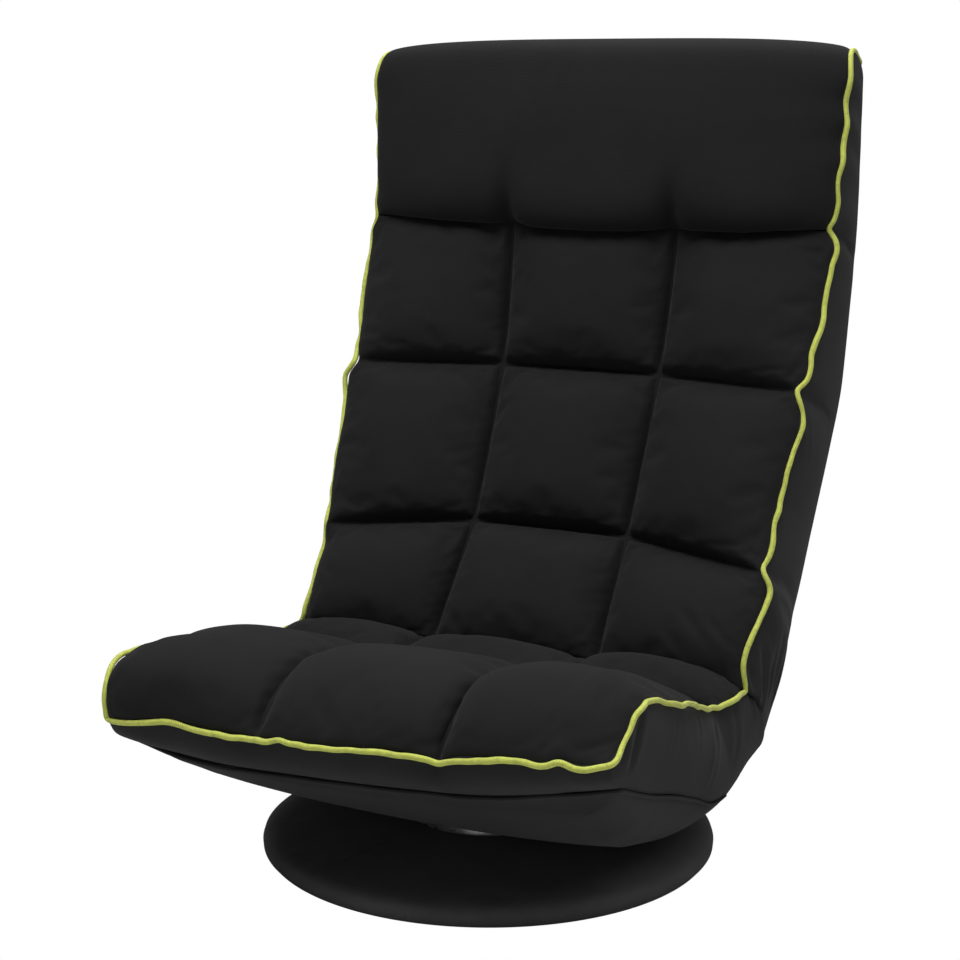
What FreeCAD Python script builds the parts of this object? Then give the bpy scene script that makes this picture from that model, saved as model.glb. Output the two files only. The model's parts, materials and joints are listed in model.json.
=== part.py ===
import FreeCAD, Part
import math
import os
import Sketcher

V = FreeCAD.Vector
ROOT = "parts"
os.makedirs(ROOT, exist_ok=True)
doc = FreeCAD.newDocument("FloorChair")

# Every driving size lives in one sheet. Lengths are in mm and angles in degrees.
SIZES = {
    "hinge_y": (86.0, "recline axis behind the swivel axis"),
    "hinge_z": (153.5, "recline axis above the floor"),
    "seat_pitch": (12.3, "seat plane, front up"),
    "back_lean": (27.0, "lower back from upright"),
    "side_half": (244.0, "half width over the side bands"),
    "flare_per_mm": (0.022, "how much wider the back gets for each mm upwards"),
    "column_seam": (90.0, "column seams either side of the middle"),
    "cloth": (2.0, "quilted cloth thickness"),
    "fit_gap": (0.3, "gap between pieces that lie on each other"),
    "piping_r": (3.0, "piping radius"),
    "welt_r": (2.2, "welt radius"),
    "seat_crown": (21.0, "crown of a front seat tuft over its seams"),
    "rear_crown": (22.0, "crown of a rear seat tuft over its seams"),
    "seat_dish": (2.0, "how deep the middle of the seat lies below its sides"),
    "back_dish": (26.0, "how deep the middle of the back lies behind its sides"),
    "back_crown": (23.0, "crown of a back tuft over its seams"),
    "head_crown": (16.0, "crown of the head roll"),
    "seam_share": (0.14, "share of the crown that is left on a seam"),
    "knuckle_r": (41.0, "round lower end of the back"),
    "knuckle_gap": (1.5, "gap from the knuckle to the seat"),
    "base_r": (222.0, "outer radius of the base"),
    "ring_inset": (34.5, "from the base's rim to the ring's centre line"),
    "ring_tube_r": (8.0, "base ring tube"),
    "ring_bore_r": (6.6, "bore of the base ring tube"),
    "ring_z": (11.0, "height of the ring's centre line"),
    "hub_z": (26.0, "underside of the spider's middle"),
    "spider_t": (4.0, "spider steel"),
    "arm_width": (30.0, "spider arm width"),
    "hub_r": (80.0, "spider middle radius"),
    "plate_r": (78.0, "turntable plate radius"),
    "plate_t": (2.0, "turntable plate steel"),
    "race_r": (60.0, "ball circle radius"),
    "ball_r": (3.175, "turntable ball radius"),
    "ball_gap": (0.06, "gap between a ball and its groove"),
    "ball_count": (24.0, "balls in the turntable"),
    "race_gap": (3.0, "gap between the two races"),
    "eyelet_r": (14.0, "centre eyelet outside radius"),
    "eyelet_gap": (0.05, "running gap round the eyelet"),
    "bolt_r": (3.0, "bolt shank radius"),
    "bolt_circle": (40.0, "bolt circle radius"),
    "frame_r": (11.0, "frame tube radius"),
    "frame_bore_r": (9.6, "bore of the frame tube"),
    "cross_r": (8.0, "back cross tube radius"),
    "frame_half": (192.0, "half width between frame tube centres"),
    "seat_frame_n": (-70.0, "seat frame below the hinge plane"),
    "seat_frame_rear": (36.0, "rear of the seat loop from the hinge"),
    "seat_frame_front": (292.0, "front of the seat loop from the hinge"),
    "bar_x": (60.0, "mount bars either side of the middle"),
    "bar_wide": (20.0, "mount bar width"),
    "bar_high": (13.0, "mount bar height"),
    "bar_wall": (1.6, "mount bar wall"),
    "wall_t": (4.0, "mount bracket steel"),
    "strap_t": (1.2, "elastic strap thickness"),
    "strap_w": (40.0, "elastic strap width"),
    "pin_r": (4.0, "hinge pin radius"),
    "pin_gap": (0.05, "running gap round the hinge pin"),
    "gear_t": (5.0, "toothed arm thickness"),
    "gear_r": (24.0, "tooth tip radius"),
    "tooth_depth": (2.6, "ratchet tooth depth"),
    "pawl_clear": (0.3, "pawl clear of the tooth tips"),
}
sheet = doc.addObject("Spreadsheet::Sheet", "Sizes")
for row, (name, (value, note)) in enumerate(SIZES.items(), start=1):
    sheet.set("A%d" % row, name)
    sheet.set("B%d" % row, str(value))
    sheet.set("C%d" % row, note)
    sheet.setAlias("B%d" % row, name)
doc.recompute()


def size(name):
    return float(getattr(sheet, name))


HY = size("hinge_y")
HZ = size("hinge_z")
PITCH = size("seat_pitch")
LEAN = size("back_lean")
SIDE = size("side_half")
FLARE = size("flare_per_mm")
COL = size("column_seam")
CLOTH = size("cloth")
GAP = size("fit_gap")
PIPE = size("piping_r")
WELT = size("welt_r")
KNUCKLE = size("knuckle_r")
HOLLOW = KNUCKLE + size("knuckle_gap")
TUBE = size("frame_r")
HALF = size("frame_half")
FRAME_N = size("seat_frame_n")
STRAP = size("strap_t")

nodes = []


def seat_place():
    return FreeCAD.Placement(V(0, HY, HZ), FreeCAD.Rotation(V(1, 0, 0), -PITCH))


def back_place():
    return FreeCAD.Placement(V(0, HY, HZ), FreeCAD.Rotation(V(1, 0, 0), -LEAN))


def tie(obj, where):
    """Bind an object's placement to the hinge and to its own lean."""
    if where is None:
        return
    angle = {"seat": "seat_pitch", "back": "back_lean"}[where]
    obj.Placement = seat_place() if where == "seat" else back_place()
    obj.setExpression("Placement.Base.y", "Sizes.hinge_y")
    obj.setExpression("Placement.Base.z", "Sizes.hinge_z")
    obj.setExpression("Placement.Rotation.Angle", "-1 * Sizes.%s" % angle)


def body(label, where=None):
    made = doc.addObject("PartDesign::Body", "Body_" + label)
    made.Label = label
    tie(made, where)
    nodes.append(made)
    return made


def plane(owner, role):
    return [f for f in owner.Origin.OriginFeatures if f.Role == role + "_Plane"][0]


def sketch(owner, role, at=(0, 0, 0), z_from=None):
    """A sketch on an origin plane. z_from ties its lift off the plane to the sheet."""
    made = owner.newObject("Sketcher::SketchObject", "Sketch")
    made.AttachmentSupport = (plane(owner, role), [""])
    made.MapMode = "FlatFace"
    made.AttachmentOffset = FreeCAD.Placement(V(*at), FreeCAD.Rotation())
    if z_from:
        made.setExpression("AttachmentOffset.Base.z", z_from)
    return made


def circle(sk, x, y, radius, alias=None):
    index = sk.addGeometry(Part.Circle(V(x, y, 0), V(0, 0, 1), radius), False)
    rule = sk.addConstraint(Sketcher.Constraint("Radius", index, radius))
    if alias:
        sk.renameConstraint(rule, "radius_%d" % index)
        sk.setExpression("Constraints.radius_%d" % index, alias)
    return index


def sketch_arc(start, way, end):
    """An arc through three points, turned the way that a sketch needs."""
    found = Part.Arc(V(*start, 0), V(*way, 0), V(*end, 0)).toShape().Curve
    angles = [math.atan2(p[1] - found.Center.y, p[0] - found.Center.x) for p in (start, way, end)]
    ring = Part.Circle(V(found.Center.x, found.Center.y, 0), V(0, 0, 1), found.Radius)
    turn = (angles[1] - angles[0]) % (2 * math.pi) <= (angles[2] - angles[0]) % (2 * math.pi)
    low, high = (angles[0], angles[2]) if turn else (angles[2], angles[0])
    return Part.ArcOfCircle(ring, low, high if high > low else high + 2 * math.pi)


def outline(sk, start, legs):
    """A closed outline. A leg is an end point, or for an arc a point on the way and an end point."""
    at = start
    joints = []
    for leg in list(legs):
        if isinstance(leg[0], (tuple, list)):
            way, end = leg
            shape = sketch_arc(at, way, end)
        else:
            end = leg
            shape = Part.LineSegment(V(at[0], at[1], 0), V(end[0], end[1], 0))
        index = sk.addGeometry(shape, False)
        near = [(sk.getPoint(index, k) - V(at[0], at[1], 0)).Length for k in (1, 2)]
        first = 1 if near[0] <= near[1] else 2
        joints.append((index, first, 3 - first))
        at = end
    for one, two in zip(joints, joints[1:] + joints[:1]):
        sk.addConstraint(Sketcher.Constraint("Coincident", one[0], one[2], two[0], two[1]))


def rectangle(sk, x0, y0, x1, y1):
    outline(sk, (x0, y0), [(x1, y0), (x1, y1), (x0, y1), (x0, y0)])


def pad(owner, sk, length, both=True, backwards=False):
    made = owner.newObject("PartDesign::Pad", "Pad")
    made.Profile = sk
    if both:
        made.SideType = "Symmetric"
    if isinstance(length, str):
        made.setExpression("Length", length)
    else:
        made.Length = length
    made.Reversed = backwards
    owner.Tip = made
    return made


def pocket(owner, sk, length=None, both=True, backwards=False):
    made = owner.newObject("PartDesign::Pocket", "Pocket")
    made.Profile = sk
    if both:
        made.SideType = "Symmetric"
    if length is None:
        made.Type = "ThroughAll"
    elif isinstance(length, str):
        made.setExpression("Length", length)
    else:
        made.Length = length
    made.Reversed = backwards
    owner.Tip = made
    return made


def spin(owner, sk):
    made = owner.newObject("PartDesign::Revolution", "Revolution")
    made.Profile = sk
    made.ReferenceAxis = (sk, ["V_Axis"])
    made.Angle = 360
    owner.Tip = made


def turned_cut(owner, sk):
    made = owner.newObject("PartDesign::Groove", "Groove")
    made.Profile = sk
    made.ReferenceAxis = (sk, ["V_Axis"])
    made.Angle = 360
    owner.Tip = made


def feature(label, shape, where=None):
    """A shape that no sketch feature fits, such as a lofted tuft."""
    made = doc.addObject("Part::Feature", "Shape_" + label)
    made.Label = label
    made.Shape = shape
    tie(made, where)
    nodes.append(made)
    return made


def rounded_path(points, radii, closed=False):
    """A wire of lines joined by tangent arcs."""
    count = len(points)
    inner = range(count) if closed else range(1, count - 1)
    bends = {}
    for i in inner:
        here = points[i]
        before = (points[i - 1] - here).normalize()
        after = (points[(i + 1) % count] - here).normalize()
        angle = before.getAngle(after)
        if abs(angle - math.pi) < 1e-3 or radii[i] <= 0:
            continue
        reach = radii[i] / math.tan(angle / 2)
        middle = (before + after).normalize()
        centre = here + middle * (radii[i] / math.sin(angle / 2))
        bends[i] = (here + before * reach, centre - middle * radii[i], here + after * reach)
    edges = []
    order = list(range(count)) + ([0] if closed else [])
    at = bends[0][2] if closed and 0 in bends else points[0]
    for step in order[1:]:
        if step in bends and not (closed is False and step == count - 1):
            goal = bends[step][0]
            if (goal - at).Length > 1e-6:
                edges.append(Part.LineSegment(at, goal).toShape())
            edges.append(Part.Arc(*bends[step]).toShape())
            at = bends[step][2]
        else:
            if (points[step] - at).Length > 1e-6:
                edges.append(Part.LineSegment(at, points[step]).toShape())
            at = points[step]
    return Part.Wire(edges)


def swept(path, radius, bore=0.0):
    """A round tube or cord along a path."""
    first = path.Edges[0]
    start = first.valueAt(first.FirstParameter)
    along = first.tangentAt(first.FirstParameter)

    def solid(r):
        ring = Part.Wire([Part.Circle(start, along, r).toShape()])
        return path.makePipeShell([ring], True, False)

    whole = solid(radius)
    return whole.cut(solid(bore)) if bore else whole


def seat_point(x, u, n):
    """u runs from the hinge towards the front of the seat, n up from the seat plane."""
    return V(x, -u, n)


def loop_face(points):
    """A closed wire from points. A leg is its end, an arc as (way, end), or a spline by more ways."""
    at = points[0]
    edges = []
    for leg in points[1:] + [points[0]]:
        if isinstance(leg, tuple) and len(leg) > 2:
            curve = Part.BSplineCurve()
            curve.interpolate([at] + list(leg))
            edges.append(curve.toShape())
            at = leg[-1]
        elif isinstance(leg, tuple):
            way, end = leg
            edges.append(Part.Arc(at, way, end).toShape())
            at = end
        elif (leg - at).Length > 1e-6:
            edges.append(Part.LineSegment(at, leg).toShape())
            at = leg
    return Part.Wire(edges)


def prism(points, half):
    """A side profile, given as (y, z) points, extruded both ways along x."""
    wire = Part.makePolygon([V(-half, y, z) for y, z in points + points[:1]])
    return Part.Face(wire).extrude(V(2 * half, 0, 0))


def front_view(points, depth):
    """A front outline, given as (x, z) points, extruded both ways along y."""
    wire = Part.makePolygon([V(x, -depth, z) for x, z in points + points[:1]])
    return Part.Face(wire).extrude(V(0, 2 * depth, 0))


def one_solid(shape):
    found = shape.Solids
    if len(found) != 1:
        raise ValueError("expected one solid, got %d" % len(found))
    return found[0]


# The floor base.
BASE_R = size("base_r")
HUB_TOP = size("hub_z") + size("spider_t")
COVER_TOP = HUB_TOP + CLOTH
EYE = size("eyelet_r")
PLATE_R = size("plate_r")
EYE_HOLE = EYE + size("eyelet_gap")

cover = body("base_cover")
sk = sketch(cover, "XZ")
outline(
    sk,
    (EYE + 2, COVER_TOP),
    [
        (PLATE_R + 10, COVER_TOP),
        ((BASE_R - 50, COVER_TOP - 6.6), (BASE_R - 8, COVER_TOP - 17.5)),
        ((BASE_R, 7.2), (BASE_R - 7, 0)),
        (BASE_R - 24, 0),
        (BASE_R - 24, CLOTH),
        (BASE_R - 7.6, CLOTH),
        ((BASE_R - CLOTH, 7.4), (BASE_R - 9.2, COVER_TOP - 19.3)),
        ((BASE_R - 51, COVER_TOP - 8.7), (PLATE_R + 9, HUB_TOP)),
        (EYE + 2, HUB_TOP),
        (EYE + 2, COVER_TOP),
    ],
)
spin(cover, sk)
BOLT = size("bolt_r")
BOLT_C = size("bolt_circle")
LOWER_SPOTS = [(BOLT_C, 0), (0, BOLT_C), (-BOLT_C, 0), (0, -BOLT_C)]
DIAG = BOLT_C / math.sqrt(2)
UPPER_SPOTS = [(DIAG, DIAG), (-DIAG, DIAG), (-DIAG, -DIAG), (DIAG, -DIAG)]
sk = sketch(cover, "XY")
for x, y in LOWER_SPOTS:
    circle(sk, x, y, BOLT + 0.1, "Sizes.bolt_r + 0.1")
pocket(cover, sk)

cloth = body("base_bottom_cloth")
sk = sketch(cloth, "XY")
circle(sk, 0, 0, BASE_R - 26, "Sizes.base_r - 26")
pad(cloth, sk, "Sizes.cloth", both=False)

RING_R = BASE_R - size("ring_inset")
RING_Z = size("ring_z")
ring = body("base_ring_tube")
sk = sketch(ring, "XZ")
circle(sk, RING_R, RING_Z, size("ring_tube_r"), "Sizes.ring_tube_r")
circle(sk, RING_R, RING_Z, size("ring_bore_r"), "Sizes.ring_bore_r")
spin(ring, sk)

HUB_R = size("hub_r")
HUB_Z = size("hub_z")
ARM_END = RING_R - size("ring_tube_r") + 1.5
ARM_T = size("spider_t")
spider = body("base_spider_plate")
for role in ("XZ", "YZ"):
    sk = sketch(spider, role)
    outline(
        sk,
        (-ARM_END, RING_Z - ARM_T / 2),
        [
            (-ARM_END, RING_Z + ARM_T / 2),
            (-HUB_R + 4, HUB_TOP),
            (HUB_R - 4, HUB_TOP),
            (ARM_END, RING_Z + ARM_T / 2),
            (ARM_END, RING_Z - ARM_T / 2),
            (HUB_R - 5, HUB_Z),
            (-HUB_R + 5, HUB_Z),
            (-ARM_END, RING_Z - ARM_T / 2),
        ],
    )
    pad(spider, sk, "Sizes.arm_width")
sk = sketch(spider, "XY", (0, 0, HUB_Z), "Sizes.hub_z")
circle(sk, 0, 0, HUB_R, "Sizes.hub_r")
pad(spider, sk, "Sizes.spider_t", both=False)
sk = sketch(spider, "XZ")
circle(sk, RING_R, RING_Z, size("ring_tube_r") + 0.05, "Sizes.ring_tube_r + 0.05")
turned_cut(spider, sk)
sk = sketch(spider, "XY")
circle(sk, 0, 0, EYE + 2, "Sizes.eyelet_r + 2")
for x, y in LOWER_SPOTS:
    circle(sk, x, y, BOLT + 0.1, "Sizes.bolt_r + 0.1")
pocket(spider, sk)

foam = body("base_foam")
sk = sketch(foam, "XZ")
FOAM_IN = HUB_R + 6
outline(
    sk,
    (FOAM_IN, CLOTH + GAP),
    [
        (BASE_R - 9, CLOTH + GAP),
        ((BASE_R - CLOTH - GAP, 7.4), (BASE_R - 9.6, COVER_TOP - 19.7)),
        ((BASE_R - 51.2, COVER_TOP - 9.1), (FOAM_IN + 3, HUB_TOP - GAP)),
        (FOAM_IN, HUB_TOP - GAP),
        (FOAM_IN, CLOTH + GAP),
    ],
)
spin(foam, sk)
sk = sketch(foam, "XZ")
circle(sk, RING_R, RING_Z, size("ring_tube_r") + GAP, "Sizes.ring_tube_r + Sizes.fit_gap")
turned_cut(foam, sk)
for role in ("XZ", "YZ"):
    sk = sketch(foam, role)
    low = RING_Z - ARM_T / 2 - 0.5
    outline(
        sk,
        (-RING_R, low),
        [
            (-RING_R, low + ARM_T + 1),
            (-ARM_END, low + ARM_T + 1.2),
            (-HUB_R + 4, HUB_TOP + 1),
            (HUB_R - 4, HUB_TOP + 1),
            (ARM_END, low + ARM_T + 1.2),
            (RING_R, low + ARM_T + 1),
            (RING_R, low),
            (ARM_END, low),
            (HUB_R - 5, HUB_Z - 1),
            (-HUB_R + 5, HUB_Z - 1),
            (-ARM_END, low),
            (-RING_R, low),
        ],
    )
    pocket(foam, sk, "Sizes.arm_width + 1")

# The turntable: two race plates, a ring of balls in a cage, and the eyelet that holds them.
RACE = size("race_r")
BALL = size("ball_r")
GROOVE = BALL + size("ball_gap")
PLATE_T = size("plate_t")
LOWER_Z = COVER_TOP
BALL_Z = LOWER_Z + PLATE_T + 5.0
HALF_GAP = size("race_gap") / 2
UPPER_Z = 2 * BALL_Z - LOWER_Z - PLATE_T
UPPER_TOP = UPPER_Z + PLATE_T


def race_plate(label, low, race_low, race_high, spots, hole):
    made = body(label)
    sk = sketch(made, "XY", (0, 0, low))
    circle(sk, 0, 0, PLATE_R, "Sizes.plate_r")
    circle(sk, 0, 0, hole)
    for x, y in spots:
        circle(sk, x, y, BOLT + 0.1, "Sizes.bolt_r + 0.1")
    pad(made, sk, "Sizes.plate_t", both=False)
    sk = sketch(made, "XZ")
    rectangle(sk, RACE - 7, race_low, RACE + 7, race_high)
    spin(made, sk)
    sk = sketch(made, "XZ")
    circle(sk, RACE, BALL_Z, GROOVE, "Sizes.ball_r + Sizes.ball_gap")
    turned_cut(made, sk)


race_plate("turntable_lower_plate", LOWER_Z, LOWER_Z, BALL_Z - HALF_GAP, LOWER_SPOTS, EYE)
race_plate("turntable_upper_plate", UPPER_Z, BALL_Z + HALF_GAP, UPPER_TOP, UPPER_SPOTS, EYE_HOLE)

eyelet = body("turntable_eyelet")
sk = sketch(eyelet, "XZ")
outline(
    sk,
    (EYE - 2, LOWER_Z - 1),
    [
        (EYE, LOWER_Z - 1),
        (EYE, UPPER_TOP + 0.3),
        (EYE + 4, UPPER_TOP + 0.3),
        (EYE + 4, UPPER_TOP + 1.8),
        (EYE - 2, UPPER_TOP + 1.8),
        (EYE - 2, LOWER_Z - 1),
    ],
)
spin(eyelet, sk)

BALLS = int(size("ball_count"))
spots = [i * 2 * math.pi / BALLS for i in range(BALLS)]
balls = [Part.makeSphere(BALL, V(RACE * math.cos(a), RACE * math.sin(a), BALL_Z)) for a in spots]
feature("turntable_balls", Part.makeCompound(balls))

cage = body("turntable_ball_cage")
sk = sketch(cage, "XY", (0, 0, BALL_Z - 0.5))
circle(sk, 0, 0, RACE + 6)
circle(sk, 0, 0, RACE - 6)
pad(cage, sk, 1.0, both=False)
sk = sketch(cage, "XY")
circle(sk, RACE, 0, BALL + 0.15, "Sizes.ball_r + 0.15")
hole = pocket(cage, sk)
holes = cage.newObject("PartDesign::PolarPattern", "PolarPattern")
holes.Originals = [hole]
holes.Axis = (sk, ["N_Axis"])
holes.Angle = 360
holes.Occurrences = BALLS
hole.Visibility = False
cage.Tip = holes


def bolt_set(label, spots, head_low, shank_low, nut_low):
    """Bolts with a hex head above and a hex nut below, as one group of solids."""
    made = []
    across = 1.87 * BOLT
    for x, y in spots:
        corners = []
        for k in range(7):
            turned = k * math.pi / 3
            corners.append(V(x + across * math.cos(turned), y + across * math.sin(turned), 0))
        hexagon = Part.Face(Part.makePolygon(corners))
        head = hexagon.extrude(V(0, 0, 3.6))
        head.translate(V(0, 0, head_low))
        shank = Part.makeCylinder(BOLT, head_low - shank_low, V(x, y, shank_low))
        nut = hexagon.extrude(V(0, 0, 4.0))
        nut.translate(V(0, 0, nut_low))
        made.append(one_solid(head.fuse([shank, nut]).removeSplitter()))
    feature(label, Part.makeCompound(made))


bolt_set("turntable_lower_bolts", LOWER_SPOTS, LOWER_Z + PLATE_T, HUB_Z - 5, HUB_Z - 4)
BRACKET_Z = UPPER_TOP
WALL = size("wall_t")
bolt_set("turntable_upper_bolts", UPPER_SPOTS, BRACKET_Z + WALL, UPPER_Z - 4.4, UPPER_Z - 4)

# The seat mount: a bent bracket on the turntable and two square bars under the seat frame.
BAR_X = size("bar_x")
BAR_W = size("bar_wide")
BAR_H = size("bar_high")
BAR_WALL = size("bar_wall")
BAR_TOP = FRAME_N - TUBE
BAR_LOW = BAR_TOP - BAR_H


def seat_z(y, n):
    """Height of the seat plane offset n at a chair position y."""
    pitch = math.radians(PITCH)
    u = (HY - y + n * math.sin(pitch)) / math.cos(pitch)
    return HZ + u * math.sin(pitch) + n * math.cos(pitch)


bracket = body("seat_mount_bracket")
sk = sketch(bracket, "YZ")
REACH = 58.0
outline(
    sk,
    (-REACH, BRACKET_Z),
    [
        (REACH, BRACKET_Z),
        (REACH, seat_z(REACH, BAR_LOW)),
        (-REACH, seat_z(-REACH, BAR_LOW)),
        (-REACH, BRACKET_Z),
    ],
)
pad(bracket, sk, 2 * (BAR_X - 1))
sk = sketch(bracket, "YZ")
outline(
    sk,
    (-REACH - 1, BRACKET_Z + WALL),
    [
        (REACH + 1, BRACKET_Z + WALL),
        (REACH + 1, seat_z(REACH, BAR_LOW) + 30),
        (-REACH - 1, seat_z(-REACH, BAR_LOW) + 30),
        (-REACH - 1, BRACKET_Z + WALL),
    ],
)
pocket(bracket, sk, 2 * (BAR_X - 1 - WALL))
sk = sketch(bracket, "XY")
circle(sk, 0, 0, EYE + 6, "Sizes.eyelet_r + 6")
for x, y in UPPER_SPOTS:
    circle(sk, x, y, BOLT + 0.1, "Sizes.bolt_r + 0.1")
pocket(bracket, sk, 2 * (BRACKET_Z + WALL + 1))

# The seat frame: a closed tube loop, a cross tube and elastic straps.
REAR_U = size("seat_frame_rear")
FRONT_U = size("seat_frame_front")
BORE = size("frame_bore_r")
BAR_FROM = REAR_U - 7
BAR_LONG = FRONT_U - 7 - BAR_FROM
bars = []
for side in (-1, 1):
    middle = side * BAR_X
    outer = Part.makeBox(BAR_W, BAR_LONG, BAR_H, seat_point(middle - BAR_W / 2, BAR_FROM + BAR_LONG, BAR_LOW))
    inner = Part.makeBox(
        BAR_W - 2 * BAR_WALL,
        BAR_LONG + 2,
        BAR_H - 2 * BAR_WALL,
        seat_point(middle - BAR_W / 2 + BAR_WALL, BAR_FROM + BAR_LONG + 1, BAR_LOW + BAR_WALL),
    )
    bars.append(one_solid(outer.cut(inner)))
feature("seat_mount_bars", Part.makeCompound(bars), "seat")

corners = [
    seat_point(0, FRONT_U, FRAME_N),
    seat_point(HALF, FRONT_U, FRAME_N),
    seat_point(HALF, REAR_U, FRAME_N),
    seat_point(-HALF, REAR_U, FRAME_N),
    seat_point(-HALF, FRONT_U, FRAME_N),
    seat_point(0, FRONT_U, FRAME_N),
]
loop = rounded_path(corners, [0, 42, 30, 30, 42, 0])
feature("seat_frame_loop", one_solid(swept(loop, TUBE, BORE)), "seat")

CROSS_U = 225.0
CROSS_HALF = HALF - 4
cross = Part.makeCylinder(TUBE, 2 * CROSS_HALF, seat_point(-CROSS_HALF, CROSS_U, FRAME_N), V(1, 0, 0))
cross = cross.cut(Part.makeCylinder(BORE, 2 * HALF, seat_point(-HALF, CROSS_U, FRAME_N), V(1, 0, 0)))
for side in (-1, 1):
    saddle = Part.makeCylinder(TUBE + 0.05, 80, seat_point(side * HALF, CROSS_U + 40, FRAME_N), V(0, 1, 0))
    cross = cross.cut(saddle)
feature("seat_cross_tube", one_solid(cross), "seat")

STRAP_W = size("strap_w")
STRAP_N = FRAME_N + TUBE + GAP / 2
straps = []
STRAP_OVER = 7.0
STRAP_LONG = 2 * (HALF + STRAP_OVER)
for u in (35, 88, 141, 194, 247):
    corner = seat_point(-HALF - STRAP_OVER, u + STRAP_W / 2, STRAP_N)
    straps.append(Part.makeBox(STRAP_LONG, STRAP_W, STRAP, corner))
feature("seat_webbing", Part.makeCompound(straps), "seat")

# The hinge stack from the middle outwards: inner plate, toothed arm, outer plate.
GEAR_T = size("gear_t")
ARM_X = HALF + TUBE + 0.1
INNER_T = 2.6
OUTER_T = 3.0
HEAD_T = 1.8
PIN_IN = ARM_X - GAP - INNER_T
PIN_OUT = ARM_X + GEAR_T + GAP + OUTER_T
HINGE_MID = (PIN_IN + PIN_OUT) / 2
HINGE_WIDE = PIN_OUT - PIN_IN + 2 * HEAD_T

# The seat's soft parts. The foam's outline also leads the band and the pad.
FOAM_LOW = STRAP_N + STRAP + GAP
FOAM_TOP = 4.0 - GAP
SEAT_FRONT = 300.0
LIP_U = 354.0
LIP_N = -46.0
BAND_IN = SIDE - CLOTH


def hollow_point(n, radius):
    """Where a level line meets the round hollow at the seat's rear."""
    return math.sqrt(radius * radius - n * n)


foam = body("seat_foam", "seat")
sk = sketch(foam, "YZ")
FOAM_HOLLOW = HOLLOW + 1.0
SLOPE_TOP = (-SEAT_FRONT + 2.6, 4.0 - GAP)
SLOPE_LOW = (-LIP_U + 0.6, LIP_N - GAP)
STRIP_OUT = [(-LIP_U - 6, LIP_N - GAP), (-321, -65)]
STRIP_IN = [(-LIP_U - 1.4, LIP_N - GAP), (-320.1, -63.2)]
outline(
    sk,
    (-hollow_point(FOAM_TOP, FOAM_HOLLOW), FOAM_TOP),
    [
        SLOPE_TOP,
        (SLOPE_LOW[0] + 0.6, SLOPE_LOW[1]),
        (STRIP_IN[0][0] + 23.4, FOAM_LOW),
        (-20, FOAM_LOW),
        (-20, -hollow_point(20, FOAM_HOLLOW)),
        ((-FOAM_HOLLOW * math.cos(math.radians(28)), -FOAM_HOLLOW * math.sin(math.radians(28))),
         (-hollow_point(FOAM_TOP, FOAM_HOLLOW), FOAM_TOP)),
    ],
)
pad(foam, sk, 2 * (BAND_IN - GAP))
for side in (-1, 1):
    sk = sketch(foam, "YZ", (0, 0, side * HINGE_MID))
    outline(
        sk,
        (20, 22),
        [(-52, 22), (-78, FOAM_LOW - 1), (20, FOAM_LOW - 1), (20, 22)],
    )
    pocket(foam, sk, HINGE_WIDE + 5.2)

# A tufted pad is lofted column by column through closed side profiles.
STATIONS = ((0.0, 0.0), (0.09, 0.62), (0.26, 0.92), (0.5, 1.0), (0.74, 0.92), (0.91, 0.62), (1.0, 0.0))
QUARTER = math.pi / 2
SEAM = size("seam_share")


def swell(share):
    return SEAM + (1 - SEAM) * share


def column(left, right, profile, sink):
    """One column of tufts between two seam lines. left and right give x at a height."""
    wires = []
    for t, share in STATIONS:
        wires.append(profile(lambda p, t=t: left(p) + (right(p) - left(p)) * t, swell(share), sink(t)))
    return Part.makeLoft(wires, True, False)


def tufted(profile, edge):
    """Three columns side by side, joined into one solid. The middle one takes the whole dish."""
    columns = [
        column(lambda p: -edge(p), lambda p: -COL, profile, lambda t: math.sin(t * QUARTER)),
        column(lambda p: -COL, lambda p: COL, profile, lambda t: 1.0),
        column(lambda p: COL, lambda p: edge(p), profile, lambda t: math.cos(t * QUARTER)),
    ]
    return one_solid(columns[0].fuse(columns[1:]))


SEAT_CROWN = size("seat_crown")
REAR_CROWN = size("rear_crown")
SEAT_DISH = size("seat_dish")
ROW_U = 130.0
ROW_N = 11.0
CREASE_U = 43.4
CREASE_N = 10.0


# Places on the front tuft's seams, from the lip up to the row seam, and how far the crown moves them.
FRONT_TUFT = [
    (350, -29, 0.3, 0.45),
    (331, -4, 0.33, 0.85),
    (287, 15, 0.1, 1.0),
    (214, 15, 0.0, 1.0),
    (155, 12, 0.0, 0.8),
]


def seat_profile(x_at, k, sink):
    x = x_at(0)
    crown = SEAT_CROWN * k - SEAT_DISH * sink
    rear = REAR_CROWN * k - SEAT_DISH * sink
    tuft = [seat_point(x, u + du * crown, n + dn * crown) for u, n, du, dn in FRONT_TUFT]
    return loop_face([
        seat_point(x, CREASE_U, 4.0),
        seat_point(x, SEAT_FRONT - 2, 4.0),
        seat_point(x, LIP_U, LIP_N),
        seat_point(x, LIP_U + 8, LIP_N),
        tuple(tuft + [seat_point(x, ROW_U, ROW_N)]),
        (seat_point(x, 86, 12 + rear), seat_point(x, CREASE_U, CREASE_N)),
    ])


feature("seat_pad", tufted(seat_profile, lambda p: SIDE), "seat")

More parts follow.
